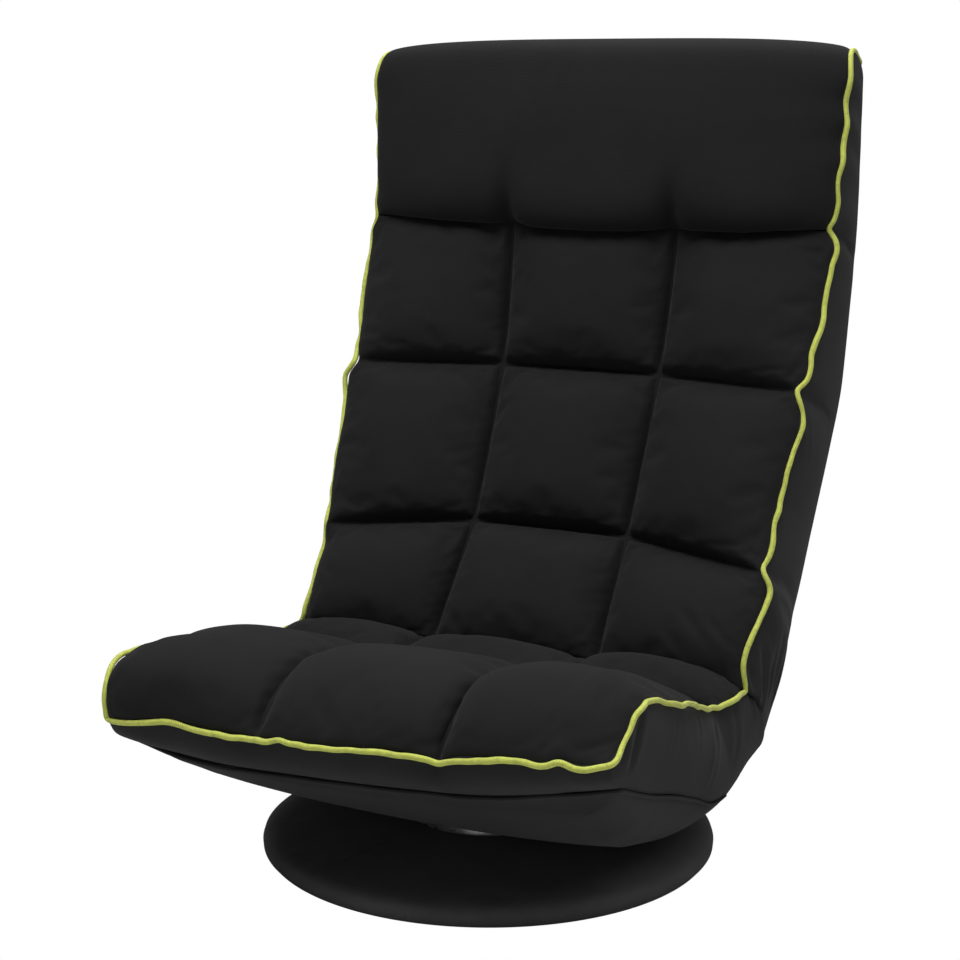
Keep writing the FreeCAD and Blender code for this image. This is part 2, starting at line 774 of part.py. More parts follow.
# The band round the seat: two sides and the front strip.
BAND_LOW = [(-321, -65), (-219, -68), (-143, -80), (-100, -88), (-62, -82), (-27, -66), (-8, -46)]
band_top = 4.0 - GAP
band = body("seat_side_band", "seat")
sk = sketch(band, "YZ")
hollow_end = (-8, -math.sqrt(HOLLOW ** 2 - 64))
way = (-HOLLOW * math.cos(math.radians(38)), -HOLLOW * math.sin(math.radians(38)))
start = (-hollow_point(band_top, HOLLOW), band_top)
outline(
    sk,
    start,
    [SLOPE_TOP, SLOPE_LOW] + STRIP_OUT + BAND_LOW[1:] + [hollow_end, (way, start)],
)
pad(band, sk, "2 * Sizes.side_half")
sk = sketch(band, "YZ")
outline(
    sk,
    (60, 30),
    [(-380, 30), (-380, LIP_N)] + [(STRIP_IN[0][0], LIP_N), STRIP_IN[0], STRIP_IN[1]]
    + [(STRIP_IN[1][0], -120), (60, -120), (60, 30)],
)
pocket(band, sk, "2 * (Sizes.side_half - Sizes.cloth)")

# The underside cover: a stretched tray below the band, open at the top and at the turntable.
TRAY_TOP = [(y, z - GAP) for y, z in BAND_LOW[:-1]] + [(-10, -48.3)]
TRAY_LOW = [(-6, -95), (-60, -108), (-133, -118), (-209, -117), (-300, -99)]
TRAY_IN = [(-318.4, -20), (-318.4, -65), (-298.6, -97), (-209, -115), (-133, -116), (-60, -105.9)]
TRAY_IN += [(-8.2, -93.2), (-12.2, -48), (-12.2, -20)]


def tray(side_points, inset):
    """The tray's side view cut to its front view, which narrows downwards."""
    wide = SIDE - inset
    low = HALF + 14 - inset
    ends = [(-wide, 40), (-wide, -64), (-low, -120), (low, -120), (wide, -64), (wide, 40)]
    return prism(side_points, 300).common(front_view(ends, 500))


down = seat_place().inverse().multVec(V(0, 0, 0))
opening = Part.makeCylinder(PLATE_R + 6, HZ, down, seat_place().inverse().Rotation.multVec(V(0, 0, 1)))
shell = tray(TRAY_TOP + TRAY_LOW, 0).cut(tray(TRAY_IN, CLOTH))
feature("seat_underside_cover", one_solid(shell.cut(opening)), "seat")

# Piping and welt follow the seams.
EDGE_X = SIDE + PIPE + GAP / 2
side_run = [(46, 15), (88, 15.5), (130, 13), (205, 15), (285, 18), (306, 15), (326, 2), (345, -20)]
FRONT_PIPE = (LIP_U + 8 + PIPE + GAP, LIP_N - 1)
pipe_points = [seat_point(EDGE_X, u, n) for u, n in side_run]
pipe_points.append(seat_point(EDGE_X, *FRONT_PIPE))
pipe_points += [V(-p.x, p.y, p.z) for p in reversed(pipe_points)]
bend = [0, 60, 40, 60, 25, 20, 30, 30, PIPE + 0.4]
seat_pipe = rounded_path(pipe_points, bend + bend[::-1])
feature("seat_piping", one_solid(swept(seat_pipe, PIPE)), "seat")

WELT_X = SIDE + WELT + GAP / 2
welt_run = [(30, -70), (62, -85), (100, -91), (143, -83), (219, -71)]
welt_points = [seat_point(WELT_X, u, n) for u, n in welt_run]
welt_points.append(seat_point(WELT_X, 324, -68))
welt_points += [V(-p.x, p.y, p.z) for p in reversed(welt_points)]
bend = [0, 60, 60, 80, 80, WELT + 0.4]
feature("seat_welt", one_solid(swept(rounded_path(welt_points, bend + bend[::-1]), WELT)), "seat")

# The back's lines, as (q, p): q runs rearwards from the hinge, p up the lower back.
FRONT_SEAMS = [(-43, 8), (-50, 114), (-46, 297), (-58, 459)]
# The row seams hang lower at the sides: how far their middles lie behind and above the ends.
SEAM_HANG = [(7, 0), (27, 19), (18, 7), (0, 0)]
PAD_BASE = [(-38, 8), (-43, 118), (-39, 297), (-53, 459)]
DISH_SHARES = (0.5, 1.0, 0.8, 0.0)
DISH = [size("back_dish") * share for share in DISH_SHARES]
DEEP_BASE = [(q + sink, p) for (q, p), sink in zip(PAD_BASE, DISH)]
HEAD_TOP = [(-109, 612), (-97, 622), (-60, 622)]
REAR_LINE = [(51, 82), (60, 156), (69, 244), (75, 310), (73, 342), (65, 371), (49, 420), (21, 496)]
REAR_LINE += [(-28, 584), (-55, 624)]
TUBE_LINE = [(8, 34), (14, 345), (-68, 600)]


def back_half(p):
    return SIDE + FLARE * p


def back_wedge(inset, depth=400):
    """Front view of the back, narrow at the hinge and wide at the head."""
    low, top = -60, 800
    left = [(-back_half(low) + inset, low), (-back_half(top) + inset, top)]
    return front_view(left + [(-x, p) for x, p in reversed(left)], depth)


def on_circle(radius, degrees):
    return (radius * math.cos(math.radians(degrees)), radius * math.sin(math.radians(degrees)))


def offset_line(points, distance):
    """Shift an open line sideways, mitred at its corners."""
    out = []
    for i, here in enumerate(points):
        dirs = []
        if i > 0:
            dirs.append((here[0] - points[i - 1][0], here[1] - points[i - 1][1]))
        if i < len(points) - 1:
            dirs.append((points[i + 1][0] - here[0], points[i + 1][1] - here[1]))
        norms = [(-d[1] / math.hypot(*d), d[0] / math.hypot(*d)) for d in dirs]
        nx = sum(n[0] for n in norms) / len(norms)
        ny = sum(n[1] for n in norms) / len(norms)
        scale = distance / (nx * nx + ny * ny)
        out.append((here[0] + nx * scale, here[1] + ny * scale))
    return out


# The back frame: a bent arch of tube with cross tubes and elastic straps.
(t0q, t0p), (t1q, t1p), (t2q, t2p) = TUBE_LINE
arch_side = [V(HALF, t0q, t0p), V(HALF, t1q, t1p), V(HALF, t2q, t2p)]
arch_points = arch_side + [V(-p.x, p.y, p.z) for p in reversed(arch_side)]
ARCH_BEND = 120.0
arch = rounded_path(arch_points, [0, ARCH_BEND, 55, 55, ARCH_BEND, 0])
feature("back_frame_tube", one_solid(swept(arch, TUBE, BORE)), "back")


def tube_at(p):
    share = (p - t0p) / (t1p - t0p)
    return t0q + (t1q - t0q) * share


CROSS_R = size("cross_r")
rungs = []
for p in (95, 320):
    rung = Part.makeCylinder(CROSS_R, 2 * HALF, V(-HALF, tube_at(p), p), V(1, 0, 0))
    rung = rung.cut(Part.makeCylinder(CROSS_R - 1.2, 2 * HALF, V(-HALF, tube_at(p), p), V(1, 0, 0)))
    lean = V(0, t1q - t0q, t1p - t0p).normalize()
    for side in (-1, 1):
        foot = V(side * HALF, tube_at(p), p) - lean * 40
        rung = rung.cut(Part.makeCylinder(TUBE, 80, foot, lean))
    rungs.append(one_solid(rung))
feature("back_cross_tubes", Part.makeCompound(rungs), "back")

straps = []
lower_dir = V(0, t1q - t0q, t1p - t0p).normalize()
upper_dir = V(0, t2q - t1q, t2p - t1p).normalize()


def strap(foot, along):
    """A strap across the arch, lying on the front of its tubes."""
    front = V(0, -along.z, along.y)
    near = foot + front * (TUBE + GAP / 2)
    a = near - along * (STRAP_W / 2)
    b = near + along * (STRAP_W / 2)
    corners = [a, b, b + front * STRAP, a + front * STRAP, a]
    wire = Part.makePolygon([V(-HALF - STRAP_OVER, c.y, c.z) for c in corners])
    return Part.Face(wire).extrude(V(STRAP_LONG, 0, 0))


for p in (70, 120, 170, 220, 270):
    straps.append(strap(V(0, tube_at(p), p), lower_dir))
for reach in (75, 130, 185):
    straps.append(strap(V(0, t1q, t1p) + upper_dir * reach, upper_dir))
feature("back_webbing", Part.makeCompound(straps), "back")

# Front foam between the straps and the pad, and rear foam behind the tubes.
FORK_R = 27.0
FOAM_FROM = FORK_R + 1.5
turn = lower_dir.getAngle(upper_dir)
bend_in = ARCH_BEND * (1 / math.cos(turn / 2) - 1)


def beside_tube(distance, extra):
    """The tube line moved towards the front, and extra at its bend."""
    line = offset_line(TUBE_LINE, distance)
    line[1] = (line[1][0] - extra, line[1][1])
    return line


def at_height(one, two, p):
    """The point of a line at a height p."""
    share = (p - one[1]) / (two[1] - one[1])
    return (one[0] + (two[0] - one[0]) * share, p)


front_line = beside_tube(TUBE + STRAP + 2 * GAP, bend_in)
front_face = [(q + GAP, p) for q, p in DEEP_BASE]
front_face[0] = at_height(front_face[0], front_face[1], FOAM_FROM)
front_line[0] = at_height(front_line[0], front_line[1], FOAM_FROM)
over_tube = t2p + TUBE + GAP
front_foam = prism(
    front_face
    + [(-109 + GAP, 612), (-97, 622 - GAP), (-57, 622 - GAP), (-57, over_tube)]
    + [(front_line[2][0], over_tube)]
    + list(reversed(front_line)),
    400,
).common(back_wedge(CLOTH + GAP))
feature("back_front_foam", one_solid(front_foam), "back")

KNUCKLE_IN = KNUCKLE - CLOTH - GAP
KNUCKLE_X = HALF + 4
SKIN_FROM = on_circle(KNUCKLE, -7)
HEEL_TOP = 40.0
rear_skin = offset_line([SKIN_FROM] + REAR_LINE, CLOTH + GAP)
back_line = beside_tube(-TUBE - GAP, 0)
back_line[0] = at_height(back_line[0], back_line[1], HEEL_TOP)
heel_corner = at_height(rear_skin[0], rear_skin[1], HEEL_TOP)
rear_foam = prism(
    back_line
    + [(REAR_LINE[-2][0] - 13.5, t2p)]
    + list(reversed(rear_skin[1:-1]))
    + [heel_corner],
    400,
).common(back_wedge(CLOTH + GAP))
heel = prism([(back_line[0][0], -10), back_line[0], heel_corner, on_circle(KNUCKLE_IN, -7)], KNUCKLE_X)
knuckle = Part.makeCylinder(KNUCKLE_IN, 2 * KNUCKLE_X, V(-KNUCKLE_X, 0, 0), V(1, 0, 0))
KNUCKLE_TOP = PAD_BASE[0][1] - GAP
knuckle = knuckle.cut(Part.makeBox(2 * KNUCKLE_X, 100, 100, V(-KNUCKLE_X, -60, KNUCKLE_TOP)))
rear_foam = rear_foam.fuse([heel, knuckle]).removeSplitter()
feature("back_rear_foam", one_solid(rear_foam), "back")

# The rear cover: one cloth from the top down the rear and round the knuckle to the crease.
rear_cover = body("back_rear_cover", "back")
sk = sketch(rear_cover, "YZ")
outer = [SKIN_FROM] + REAR_LINE
inner = offset_line(outer, CLOTH)
inner[0] = on_circle(KNUCKLE - CLOTH, -7)


def arc_to(radius, way, end):
    return (on_circle(radius, way), on_circle(radius, end))


outline(
    sk,
    outer[-1],
    list(reversed(outer[:-1]))
    + [arc_to(KNUCKLE, -50, -95), arc_to(KNUCKLE, -140, -178)]
    + [on_circle(KNUCKLE - CLOTH, -178)]
    + [arc_to(KNUCKLE - CLOTH, -140, -95), arc_to(KNUCKLE - CLOTH, -50, -7)]
    + inner[1:]
    + [outer[-1]],
)
pad(rear_cover, sk, 2 * (back_half(640) + 5))
# A slot on each side lets the hinge forks into the round lower end at every recline.
SLOT_IN = HINGE_MID - HINGE_WIDE / 2
for side in (-1, 1):
    sk = sketch(rear_cover, "YZ", (0, 0, min(side * SLOT_IN, side * (SLOT_IN + HINGE_WIDE))))
    rectangle(sk, -31, -60, 60, -2)
    pocket(rear_cover, sk, HINGE_WIDE, both=False, backwards=True)
sk = sketch(rear_cover, "XZ")
edge_low = back_half(-60) - CLOTH - GAP
edge_top = back_half(700) - CLOTH - GAP
for side in (-1, 1):
    outline(
        sk,
        (side * edge_low, -60),
        [(side * edge_low, 0), (side * edge_top, 700)]
        + [(side * 330, 700), (side * 330, -60), (side * edge_low, -60)],
    )
pocket(rear_cover, sk)

# The side bands of the back, with the same flare.
band_view = (
    [(q + 1.0, p) for q, p in PAD_BASE[1:]]
    + [(-109 + 1.0, 612), (-97, 622 - GAP), (-56.5, 622 - GAP)]
    + list(reversed(REAR_LINE[:-1]))
    + [on_circle(KNUCKLE, d) for d in (-7, -25, -45, -65, -85, -105, -125, -145, -165, -180)]
    + [(-40.6, KNUCKLE_TOP), (PAD_BASE[0][0] + 1.0, KNUCKLE_TOP)]
)
whole = prism(band_view, 400)
skin = whole.common(back_wedge(0)).cut(back_wedge(CLOTH, 500))
feature("back_side_bands", skin, "back")

# The tufted back pad and the head roll.
BACK_CROWN = size("back_crown")
HEAD_CROWN = size("head_crown")
# How a tuft rises between its row seams, from the upper one down.
TUFT_RISE = ((0.14, 0.68), (0.5, 1.0), (0.84, 0.8))


def back_profile(x_at, k, sink):
    def at(q, p):
        return V(x_at(p), q, p)

    base = [(q + sink * deep, p) for (q, p), deep in zip(PAD_BASE, DISH)]
    seams = [(q + sink * dq, p + sink * dp) for (q, p), (dq, dp) in zip(FRONT_SEAMS, SEAM_HANG)]
    previous = (seams[3][0], seams[3][1] - 1)
    legs = [at(q, p) for q, p in base[:3]]
    legs.append(at(base[3][0], base[3][1] - 1))
    legs.append(at(*previous))
    for q, p in reversed(seams[:3]):
        tuft = []
        for share, rise in TUFT_RISE:
            here = previous[0] + (q - previous[0]) * share, previous[1] + (p - previous[1]) * share
            tuft.append(at(here[0] - BACK_CROWN * k * rise, here[1]))
        legs.append(tuple(tuft + [at(q, p)]))
        previous = (q, p)
    return loop_face(legs)


feature("back_pad", tufted(back_profile, back_half), "back")


def head_profile(x_at, k):
    def at(q, p):
        return V(x_at(p), q, p)

    crown = HEAD_CROWN * k
    return loop_face([
        at(PAD_BASE[3][0], PAD_BASE[3][1]),
        at(*HEAD_TOP[0]),
        at(*HEAD_TOP[1]),
        at(*HEAD_TOP[2]),
        at(-58, 629),
        (at(-92, 634 + 1.75 * crown), at(-120 - 0.3 * crown, 606)),
        (at(-96 - crown, 532), at(*FRONT_SEAMS[3])),
    ])


HEAD_STATIONS = ((0.0, 0.0), (0.1, 0.75), (0.5, 1.0), (0.9, 0.75), (1.0, 0.0))
wires = []
for t, share in HEAD_STATIONS:
    wires.append(head_profile(lambda p, t=t: -back_half(p) + 2 * back_half(p) * t, swell(share)))
feature("head_roll", one_solid(Part.makeLoft(wires, True, False)), "back")

back_run = [(-44, 14), (-49.5, 70), (-49, 118), (-48, 200), (-45, 297), (-49, 385), (-60, 459)]
back_run += [(-83, 520), (-104, 575), (-120, 606)]
top_run = [(-114, 627), (-97, 635)]
TOP_PIPE = (-54, 631)


def pipe_x(p):
    return back_half(p) + PIPE + GAP / 2 + 0.2


back_points = [V(pipe_x(p), q, p) for q, p in back_run + top_run]
back_points.append(V(pipe_x(TOP_PIPE[1]), TOP_PIPE[0] + 1, TOP_PIPE[1] + 3))
back_points += [V(-p.x, p.y, p.z) for p in reversed(back_points)]
bend = [0] + [60] * 8 + [16, 16, 16, PIPE + 1]
back_pipe = rounded_path(back_points, bend + bend[::-1])
feature("back_piping", one_solid(swept(back_pipe, PIPE)), "back")

# The ratchet hinges.
PIN = size("pin_r")
GEAR_R = size("gear_r")
TOOTH = size("tooth_depth")
TEETH = 6
TOOTH_STEP = 17.0
TOOTH_FROM = 178.0


def mirrored(shape, side):
    return shape if side > 0 else shape.mirror(V(0, 0, 0), V(1, 0, 0))


def gear_outline():
    """The toothed arm's side view in (q, p): a saw-toothed sector and a strap up the tube."""
    teeth = []
    for i in range(TEETH):
        a = TOOTH_FROM + i * TOOTH_STEP
        teeth.append(on_circle(GEAR_R, a))
        teeth.append(on_circle(GEAR_R, a + 4))
        teeth.append(on_circle(GEAR_R - TOOTH, a + 6))
        teeth.append(on_circle(GEAR_R - TOOTH, a + 11))
    last = TOOTH_FROM + TEETH * TOOTH_STEP
    plain = [on_circle(GEAR_R, last + d) for d in range(0, 80, 10)]
    return teeth + plain + [(18.4, 20), (19.4, 92), (-1, 92), (-2, 24)]


for side, name in ((1, "left"), (-1, "right")):
    # The sitter's left hand is at +X.
    arm = Part.Face(Part.makePolygon([V(ARM_X, q, p) for q, p in gear_outline() + gear_outline()[:1]]))
    arm = arm.extrude(V(GEAR_T, 0, 0))
    arm = arm.cut(Part.makeCylinder(PIN + size("pin_gap"), GEAR_T + 2, V(ARM_X - 1, 0, 0), V(1, 0, 0)))
    feature("hinge_toothed_arm_" + name, one_solid(mirrored(arm, side)), "back")

PAWL_AT = (-16.0, -36.0)
FORK_FROM = on_circle(FORK_R, 200)
FORK_ROUND = (on_circle(FORK_R, 90), on_circle(FORK_R, -75))
NECK = [(-14.5, -46), (-36, -50)]
FOOT = [(-15, -84), (-100, -84), (-100, -59.5), (-66, -59.5)]
SHORT = [FORK_FROM, FORK_ROUND] + NECK + [FORK_FROM]
LONG = [FORK_FROM, FORK_ROUND, NECK[0]] + FOOT + [NECK[1], FORK_FROM]
BLOCK = [NECK[1], NECK[0]] + FOOT + [NECK[1]]
WEB = [NECK[1], NECK[0], (-14.5, -55), (-38, -57), NECK[1]]


def plate(owner, side, low, high, shape):
    """A flat plate of the fork between two distances from the middle."""
    near, far = sorted((side * low, side * high))
    sk = sketch(owner, "YZ", (0, 0, near))
    outline(sk, shape[0], shape[1:])
    pad(owner, sk, far - near, both=False)


for side, name in ((1, "left"), (-1, "right")):
    fork = body("hinge_fork_" + name, "seat")
    plate(fork, side, ARM_X + GEAR_T + GAP, PIN_OUT, LONG)
    plate(fork, side, ARM_X, ARM_X + GEAR_T + GAP, BLOCK)
    plate(fork, side, PIN_IN, ARM_X, WEB)
    plate(fork, side, PIN_IN, ARM_X - GAP, SHORT)
    sk = sketch(fork, "YZ")
    circle(sk, 0, 0, PIN, "Sizes.pin_r")
    circle(sk, PAWL_AT[0], PAWL_AT[1], 2.5)
    pocket(fork, sk)

for side, name in ((1, "left"), (-1, "right")):
    pin = Part.makeCylinder(PIN, PIN_OUT - PIN_IN, V(PIN_IN, 0, 0), V(1, 0, 0))
    heads = [
        Part.makeCylinder(PIN + 3, HEAD_T, V(PIN_IN - HEAD_T, 0, 0), V(1, 0, 0)),
        Part.makeCylinder(PIN + 3, HEAD_T, V(PIN_OUT, 0, 0), V(1, 0, 0)),
    ]
    feature("hinge_pin_" + name, one_solid(mirrored(pin.fuse(heads), side)), "seat")
    post = Part.makeCylinder(2.5, PIN_OUT - PIN_IN, V(PIN_IN, *PAWL_AT), V(1, 0, 0))
    caps = [
        Part.makeCylinder(4, 1.2, V(PIN_IN - 1.2, *PAWL_AT), V(1, 0, 0)),
        Part.makeCylinder(4, 1.2, V(PIN_OUT, *PAWL_AT), V(1, 0, 0)),
    ]
    feature("hinge_pawl_pin_" + name, one_solid(mirrored(post.fuse(caps), side)), "seat")
    # The pawl stands just clear of the tooth tips.
    clear = GEAR_R + size("pawl_clear")
    tip = on_circle(clear, 217)
    heel_point = on_circle(clear, 228)
    pawl_view = [tip, heel_point, (-9.5, -31.5), (-10, -40), (-20, -42), (-24, -36), tip]
    pawl = Part.Face(Part.makePolygon([V(ARM_X + 0.2, y, z) for y, z in pawl_view])).extrude(V(3.2, 0, 0))
    pawl = pawl.cut(Part.makeCylinder(2.55, 6, V(ARM_X - 1, *PAWL_AT), V(1, 0, 0)))
    feature("hinge_pawl_" + name, one_solid(mirrored(pawl, side)), "seat")
    coil = Part.makeTorus(3.4, 0.6, V(ARM_X + 4.3, *PAWL_AT), V(1, 0, 0))
    feature("hinge_pawl_spring_" + name, mirrored(coil, side), "seat")

doc.recompute()

bad = [o.Label for o in doc.Objects if {"Invalid", "Error"} & set(o.State)]
if bad:
    raise ValueError("objects in error: %s" % ", ".join(bad))
if len(nodes) > 60:
    raise ValueError("too many nodes: %d" % len(nodes))
low = 1e9
faces = 0
for node in nodes:
    shape = node.Shape
    if shape.isNull() or not shape.isValid():
        raise ValueError("%s has no valid shape" % node.Label)
    if not shape.Solids:
        raise ValueError("%s has no solid" % node.Label)
    box = shape.optimalBoundingBox(False)
    low = min(low, box.ZMin)
    faces += len(shape.Faces)
    shape.exportStep(os.path.join(ROOT, node.Label + ".step"))
    sides = (box.XMin, box.XMax, box.YMin, box.YMax, box.ZMin, box.ZMax)
    print("%-26s %2d solid(s)" % (node.Label, len(shape.Solids)), end="")
    print("  x %.1f..%.1f  y %.1f..%.1f  z %.1f..%.1f" % sides, end="")
    print("  %.1f cm3" % (shape.Volume / 1000))
print("nodes %d, faces %d, lowest point %.3f" % (len(nodes), faces, low))
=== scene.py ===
"""Quilted swivel floor chair: the looks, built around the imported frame.

Lengths in this file are millimetres until a mesh is made. Along the seat, u runs forwards from the
hinge and n up from the seat. Along the back, p runs up from the hinge and q to the rear. x is across.
Right and left are the viewer's from the front: right is at +x, which is the sitter's left.
"""

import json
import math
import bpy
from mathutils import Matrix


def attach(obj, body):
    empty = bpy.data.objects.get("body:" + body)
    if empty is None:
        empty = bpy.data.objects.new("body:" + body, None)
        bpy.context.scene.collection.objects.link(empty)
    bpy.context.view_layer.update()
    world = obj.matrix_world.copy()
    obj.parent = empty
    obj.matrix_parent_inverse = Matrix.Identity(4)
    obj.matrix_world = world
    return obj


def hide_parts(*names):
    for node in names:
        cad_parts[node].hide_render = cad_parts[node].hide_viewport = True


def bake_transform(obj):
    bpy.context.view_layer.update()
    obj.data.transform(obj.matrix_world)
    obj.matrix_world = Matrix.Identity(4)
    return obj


bl_info = {
    "name": "Quilted floor chair",
    "version": (1, 0, 0),
    "blender": (4, 5, 0),
    "location": "3D View > Sidebar > Floor chair",
    "description": "Covers, piping, base and studio for a quilted swivel floor chair",
    "category": "Object",
}

import bmesh
import bpy
import numpy as np
from mathutils import Vector

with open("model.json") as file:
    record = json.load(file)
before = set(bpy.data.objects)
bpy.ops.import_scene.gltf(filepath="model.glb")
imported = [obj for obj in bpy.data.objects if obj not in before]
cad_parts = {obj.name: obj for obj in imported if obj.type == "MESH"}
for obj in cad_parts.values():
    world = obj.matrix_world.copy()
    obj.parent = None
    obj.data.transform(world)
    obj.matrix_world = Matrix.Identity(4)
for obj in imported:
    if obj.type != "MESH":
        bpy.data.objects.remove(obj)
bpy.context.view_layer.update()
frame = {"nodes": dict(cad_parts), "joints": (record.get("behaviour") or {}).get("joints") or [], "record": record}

MM = 0.001
SEED = 11
# The length after which a wave texture of scale 1 repeats.
WAVE_PERIOD = 0.314
RECLINE = next(j for j in frame["joints"] if j["name"] == "backrest_recline")
HINGE_Y = RECLINE["pos_m"][1] / MM
HINGE_Z = RECLINE["pos_m"][2] / MM
# Half the space between the column seams, and the half width of the back at the hinge with its flare upwards.
COLUMN = 90.0
EDGE = 244.0
FLARE = 0.022
# Depth of the pads below their seams, and at their rim.
PAD_DEPTH = 16.0
RIM_DEPTH = 3.0
# How many frames a pad swells for.
SWELL_FRAMES = 20
# Steps across and along one tuft, and the rows of the side cloth between its edges.
TUFT_ACROSS = 30
TUFT_ALONG = 34
BAND_ROWS = 26


# Places and curves.


def settings():
    return bpy.context.scene.floor_chair


def seat_sag(x, u):
    """How far the soft front of the seat leans: lower at the left, raised at the right."""
    t = np.clip((u - 230) / 130, 0, 1)
    return t * t * (3 - 2 * t) * (settings().front_lean / MM * x / EDGE - settings().front_sag / MM)


def seat_xyz(x, u, n):
    """Points on the seat, from the hinge forwards and up."""
    x, u, n = np.broadcast_arrays(np.asarray(x, float), u, n)
    n = n + seat_sag(x, u)
    c, s = math.cos(settings().seat_pitch), math.sin(settings().seat_pitch)
    return np.stack([x, HINGE_Y - u * c + n * s, HINGE_Z + u * s + n * c], -1)


def back_xyz(x, q, p):
    """Points on the back, from the hinge to the rear and up."""
    x, q, p = np.broadcast_arrays(np.asarray(x, float), q, p)
    c, s = math.cos(settings().back_lean), math.sin(settings().back_lean)
    return np.stack([x, HINGE_Y + q * c + p * s, HINGE_Z - q * s + p * c], -1)


def half_width(p):
    """The back's half width at a height, without the waves of its edge."""
    return EDGE + FLARE * np.asarray(p, float)


def through(points, count):
    """A smooth line through the points, count of them evenly spaced along it."""
    pts = np.asarray(points, float)
    if len(pts) == 2:
        return pts[0] + (pts[1] - pts[0]) * np.linspace(0, 1, count)[:, None]
    knots = np.concatenate([[0], np.cumsum(np.linalg.norm(np.diff(pts, axis=0), axis=1) ** 0.5)])
    slopes = np.zeros_like(pts)
    for i in range(1, len(pts) - 1):
        before, after = knots[i] - knots[i - 1], knots[i + 1] - knots[i]
        left, right = (pts[i] - pts[i - 1]) / before, (pts[i + 1] - pts[i]) / after
        slopes[i] = (left * after + right * before) / (before + after)
    slopes[0] = 1.5 * (pts[1] - pts[0]) / (knots[1] - knots[0]) - 0.5 * slopes[1]
    slopes[-1] = 1.5 * (pts[-1] - pts[-2]) / (knots[-1] - knots[-2]) - 0.5 * slopes[-2]
    fine = []
    for i in range(len(pts) - 1):
        t = np.linspace(0, 1, 40, endpoint=i == len(pts) - 2)[:, None]
        step = knots[i + 1] - knots[i]
        fine.append(
            (2 * t**3 - 3 * t**2 + 1) * pts[i]
            + (t**3 - 2 * t**2 + t) * step * slopes[i]
            + (-2 * t**3 + 3 * t**2) * pts[i + 1]
            + (t**3 - t**2) * step * slopes[i + 1]
        )
    return evenly(np.concatenate(fine), count)


def evenly(points, count):
    """The same line with its points evenly spaced."""
    along = np.concatenate([[0], np.cumsum(np.linalg.norm(np.diff(points, axis=0), axis=1))])
    wanted = np.linspace(0, along[-1], count)
    return np.stack([np.interp(wanted, along, points[:, k]) for k in range(points.shape[1])], -1)


def close_to_ends(count):
    """Shares from 0 to 1 that lie closer together near both ends."""
    t = np.linspace(0, 1, count)
    return 0.5 * t + 0.25 * (1 - np.cos(math.pi * t))


def at_shares(line, shares):
    """Points at shares of an evenly spaced line."""
    t = np.linspace(0, 1, len(line))
    return np.stack([np.interp(shares, t, line[:, k]) for k in range(3)], -1)


def patch(low, high, left, right, across=None, along=None):
    """A surface through its four edge lines. Rows run from low to high, columns from left to right."""
    a = (np.linspace(0, 1, len(low)) if across is None else across)[None, :, None]
    b = (np.linspace(0, 1, len(left)) if along is None else along)[:, None, None]
    ruled = (1 - b) * low[None] + b * high[None] + (1 - a) * left[:, None] + a * right[:, None]
    corners = (1 - b) * ((1 - a) * low[0] + a * low[-1]) + b * ((1 - a) * high[0] + a * high[-1])
    return ruled - corners


def grid_normals(grid):
    rows = np.gradient(grid, axis=0)
    cols = np.gradient(grid, axis=1)
    normal = np.cross(cols, rows)
    return normal / np.maximum(np.linalg.norm(normal, axis=-1, keepdims=True), 1e-9)


def mirror_x(points):
    return np.asarray(points) * np.array([-1.0, 1.0, 1.0])


def noise_1d(count, seed, smooth):
    """Smooth random values along a line, about -1 to 1."""
    raw = np.random.default_rng(seed).normal(size=count + 8 * smooth)
    kernel = np.exp(-0.5 * (np.arange(-4 * smooth, 4 * smooth + 1) / max(smooth, 1)) ** 2)
    found = np.convolve(raw, kernel / math.sqrt((kernel**2).sum()), mode="same")
    return found[4 * smooth : 4 * smooth + count]


def fold(points, normals, line, depth, width, fade=0.35):
    """Presses a fold line into a surface, with a soft ridge beside it. line holds places in 3-D."""
    count = 60
    line = through(line, count)
    gap = points[..., None, :] - line
    far = np.linalg.norm(gap, axis=-1)
    nearest = far.argmin(-1)
    d = np.take_along_axis(far, nearest[..., None], -1)[..., 0] / width
    t = nearest / (count - 1)
    ends = np.clip(np.minimum(t, 1 - t) / fade, 0, 1)
    ends = ends * ends * (3 - 2 * ends)
    shape = (1 - 0.9 * d * d) * np.exp(-0.5 * d * d)
    return points - normals * (depth * shape * ends)[..., None]


# Meshes.


def add_mesh(name, points, faces, uv=None):
    """A smooth mesh object at the origin, from points in millimetres."""
    mesh = bpy.data.meshes.new(name)
    mesh.from_pydata((np.asarray(points) * MM).tolist(), [], faces)
    if uv is not None:
        layer = mesh.uv_layers.new(name="UVMap")
        index = np.empty(len(mesh.loops), np.int32)
        mesh.loops.foreach_get("vertex_index", index)
        layer.data.foreach_set("uv", (np.asarray(uv) * MM)[index].astype(np.float32).ravel())
    mesh.polygons.foreach_set("use_smooth", [True] * len(mesh.polygons))
    mesh.update()
    obj = bpy.data.objects.new(name, mesh)
    bpy.context.scene.collection.objects.link(obj)
    return obj


def grid_faces(rows, cols, start=0, around=False):
    """Quads of a grid of points. around joins the last column to the first."""
    span = cols if around else cols - 1
    found = []
    for r in range(rows - 1):
        for c in range(span):
            d = (c + 1) % cols
            one, two = start + r * cols, start + (r + 1) * cols
            found.append((one + c, one + d, two + d, two + c))
    return found


def tidy_mesh(obj, merge=0.05):
    """Joins doubled points and turns the faces outwards."""
    bm = bmesh.new()
    bm.from_mesh(obj.data)
    bmesh.ops.remove_doubles(bm, verts=bm.verts, dist=merge * MM)
    bmesh.ops.recalc_face_normals(bm, faces=bm.faces)
    bm.to_mesh(obj.data)
    bm.free()
    return obj


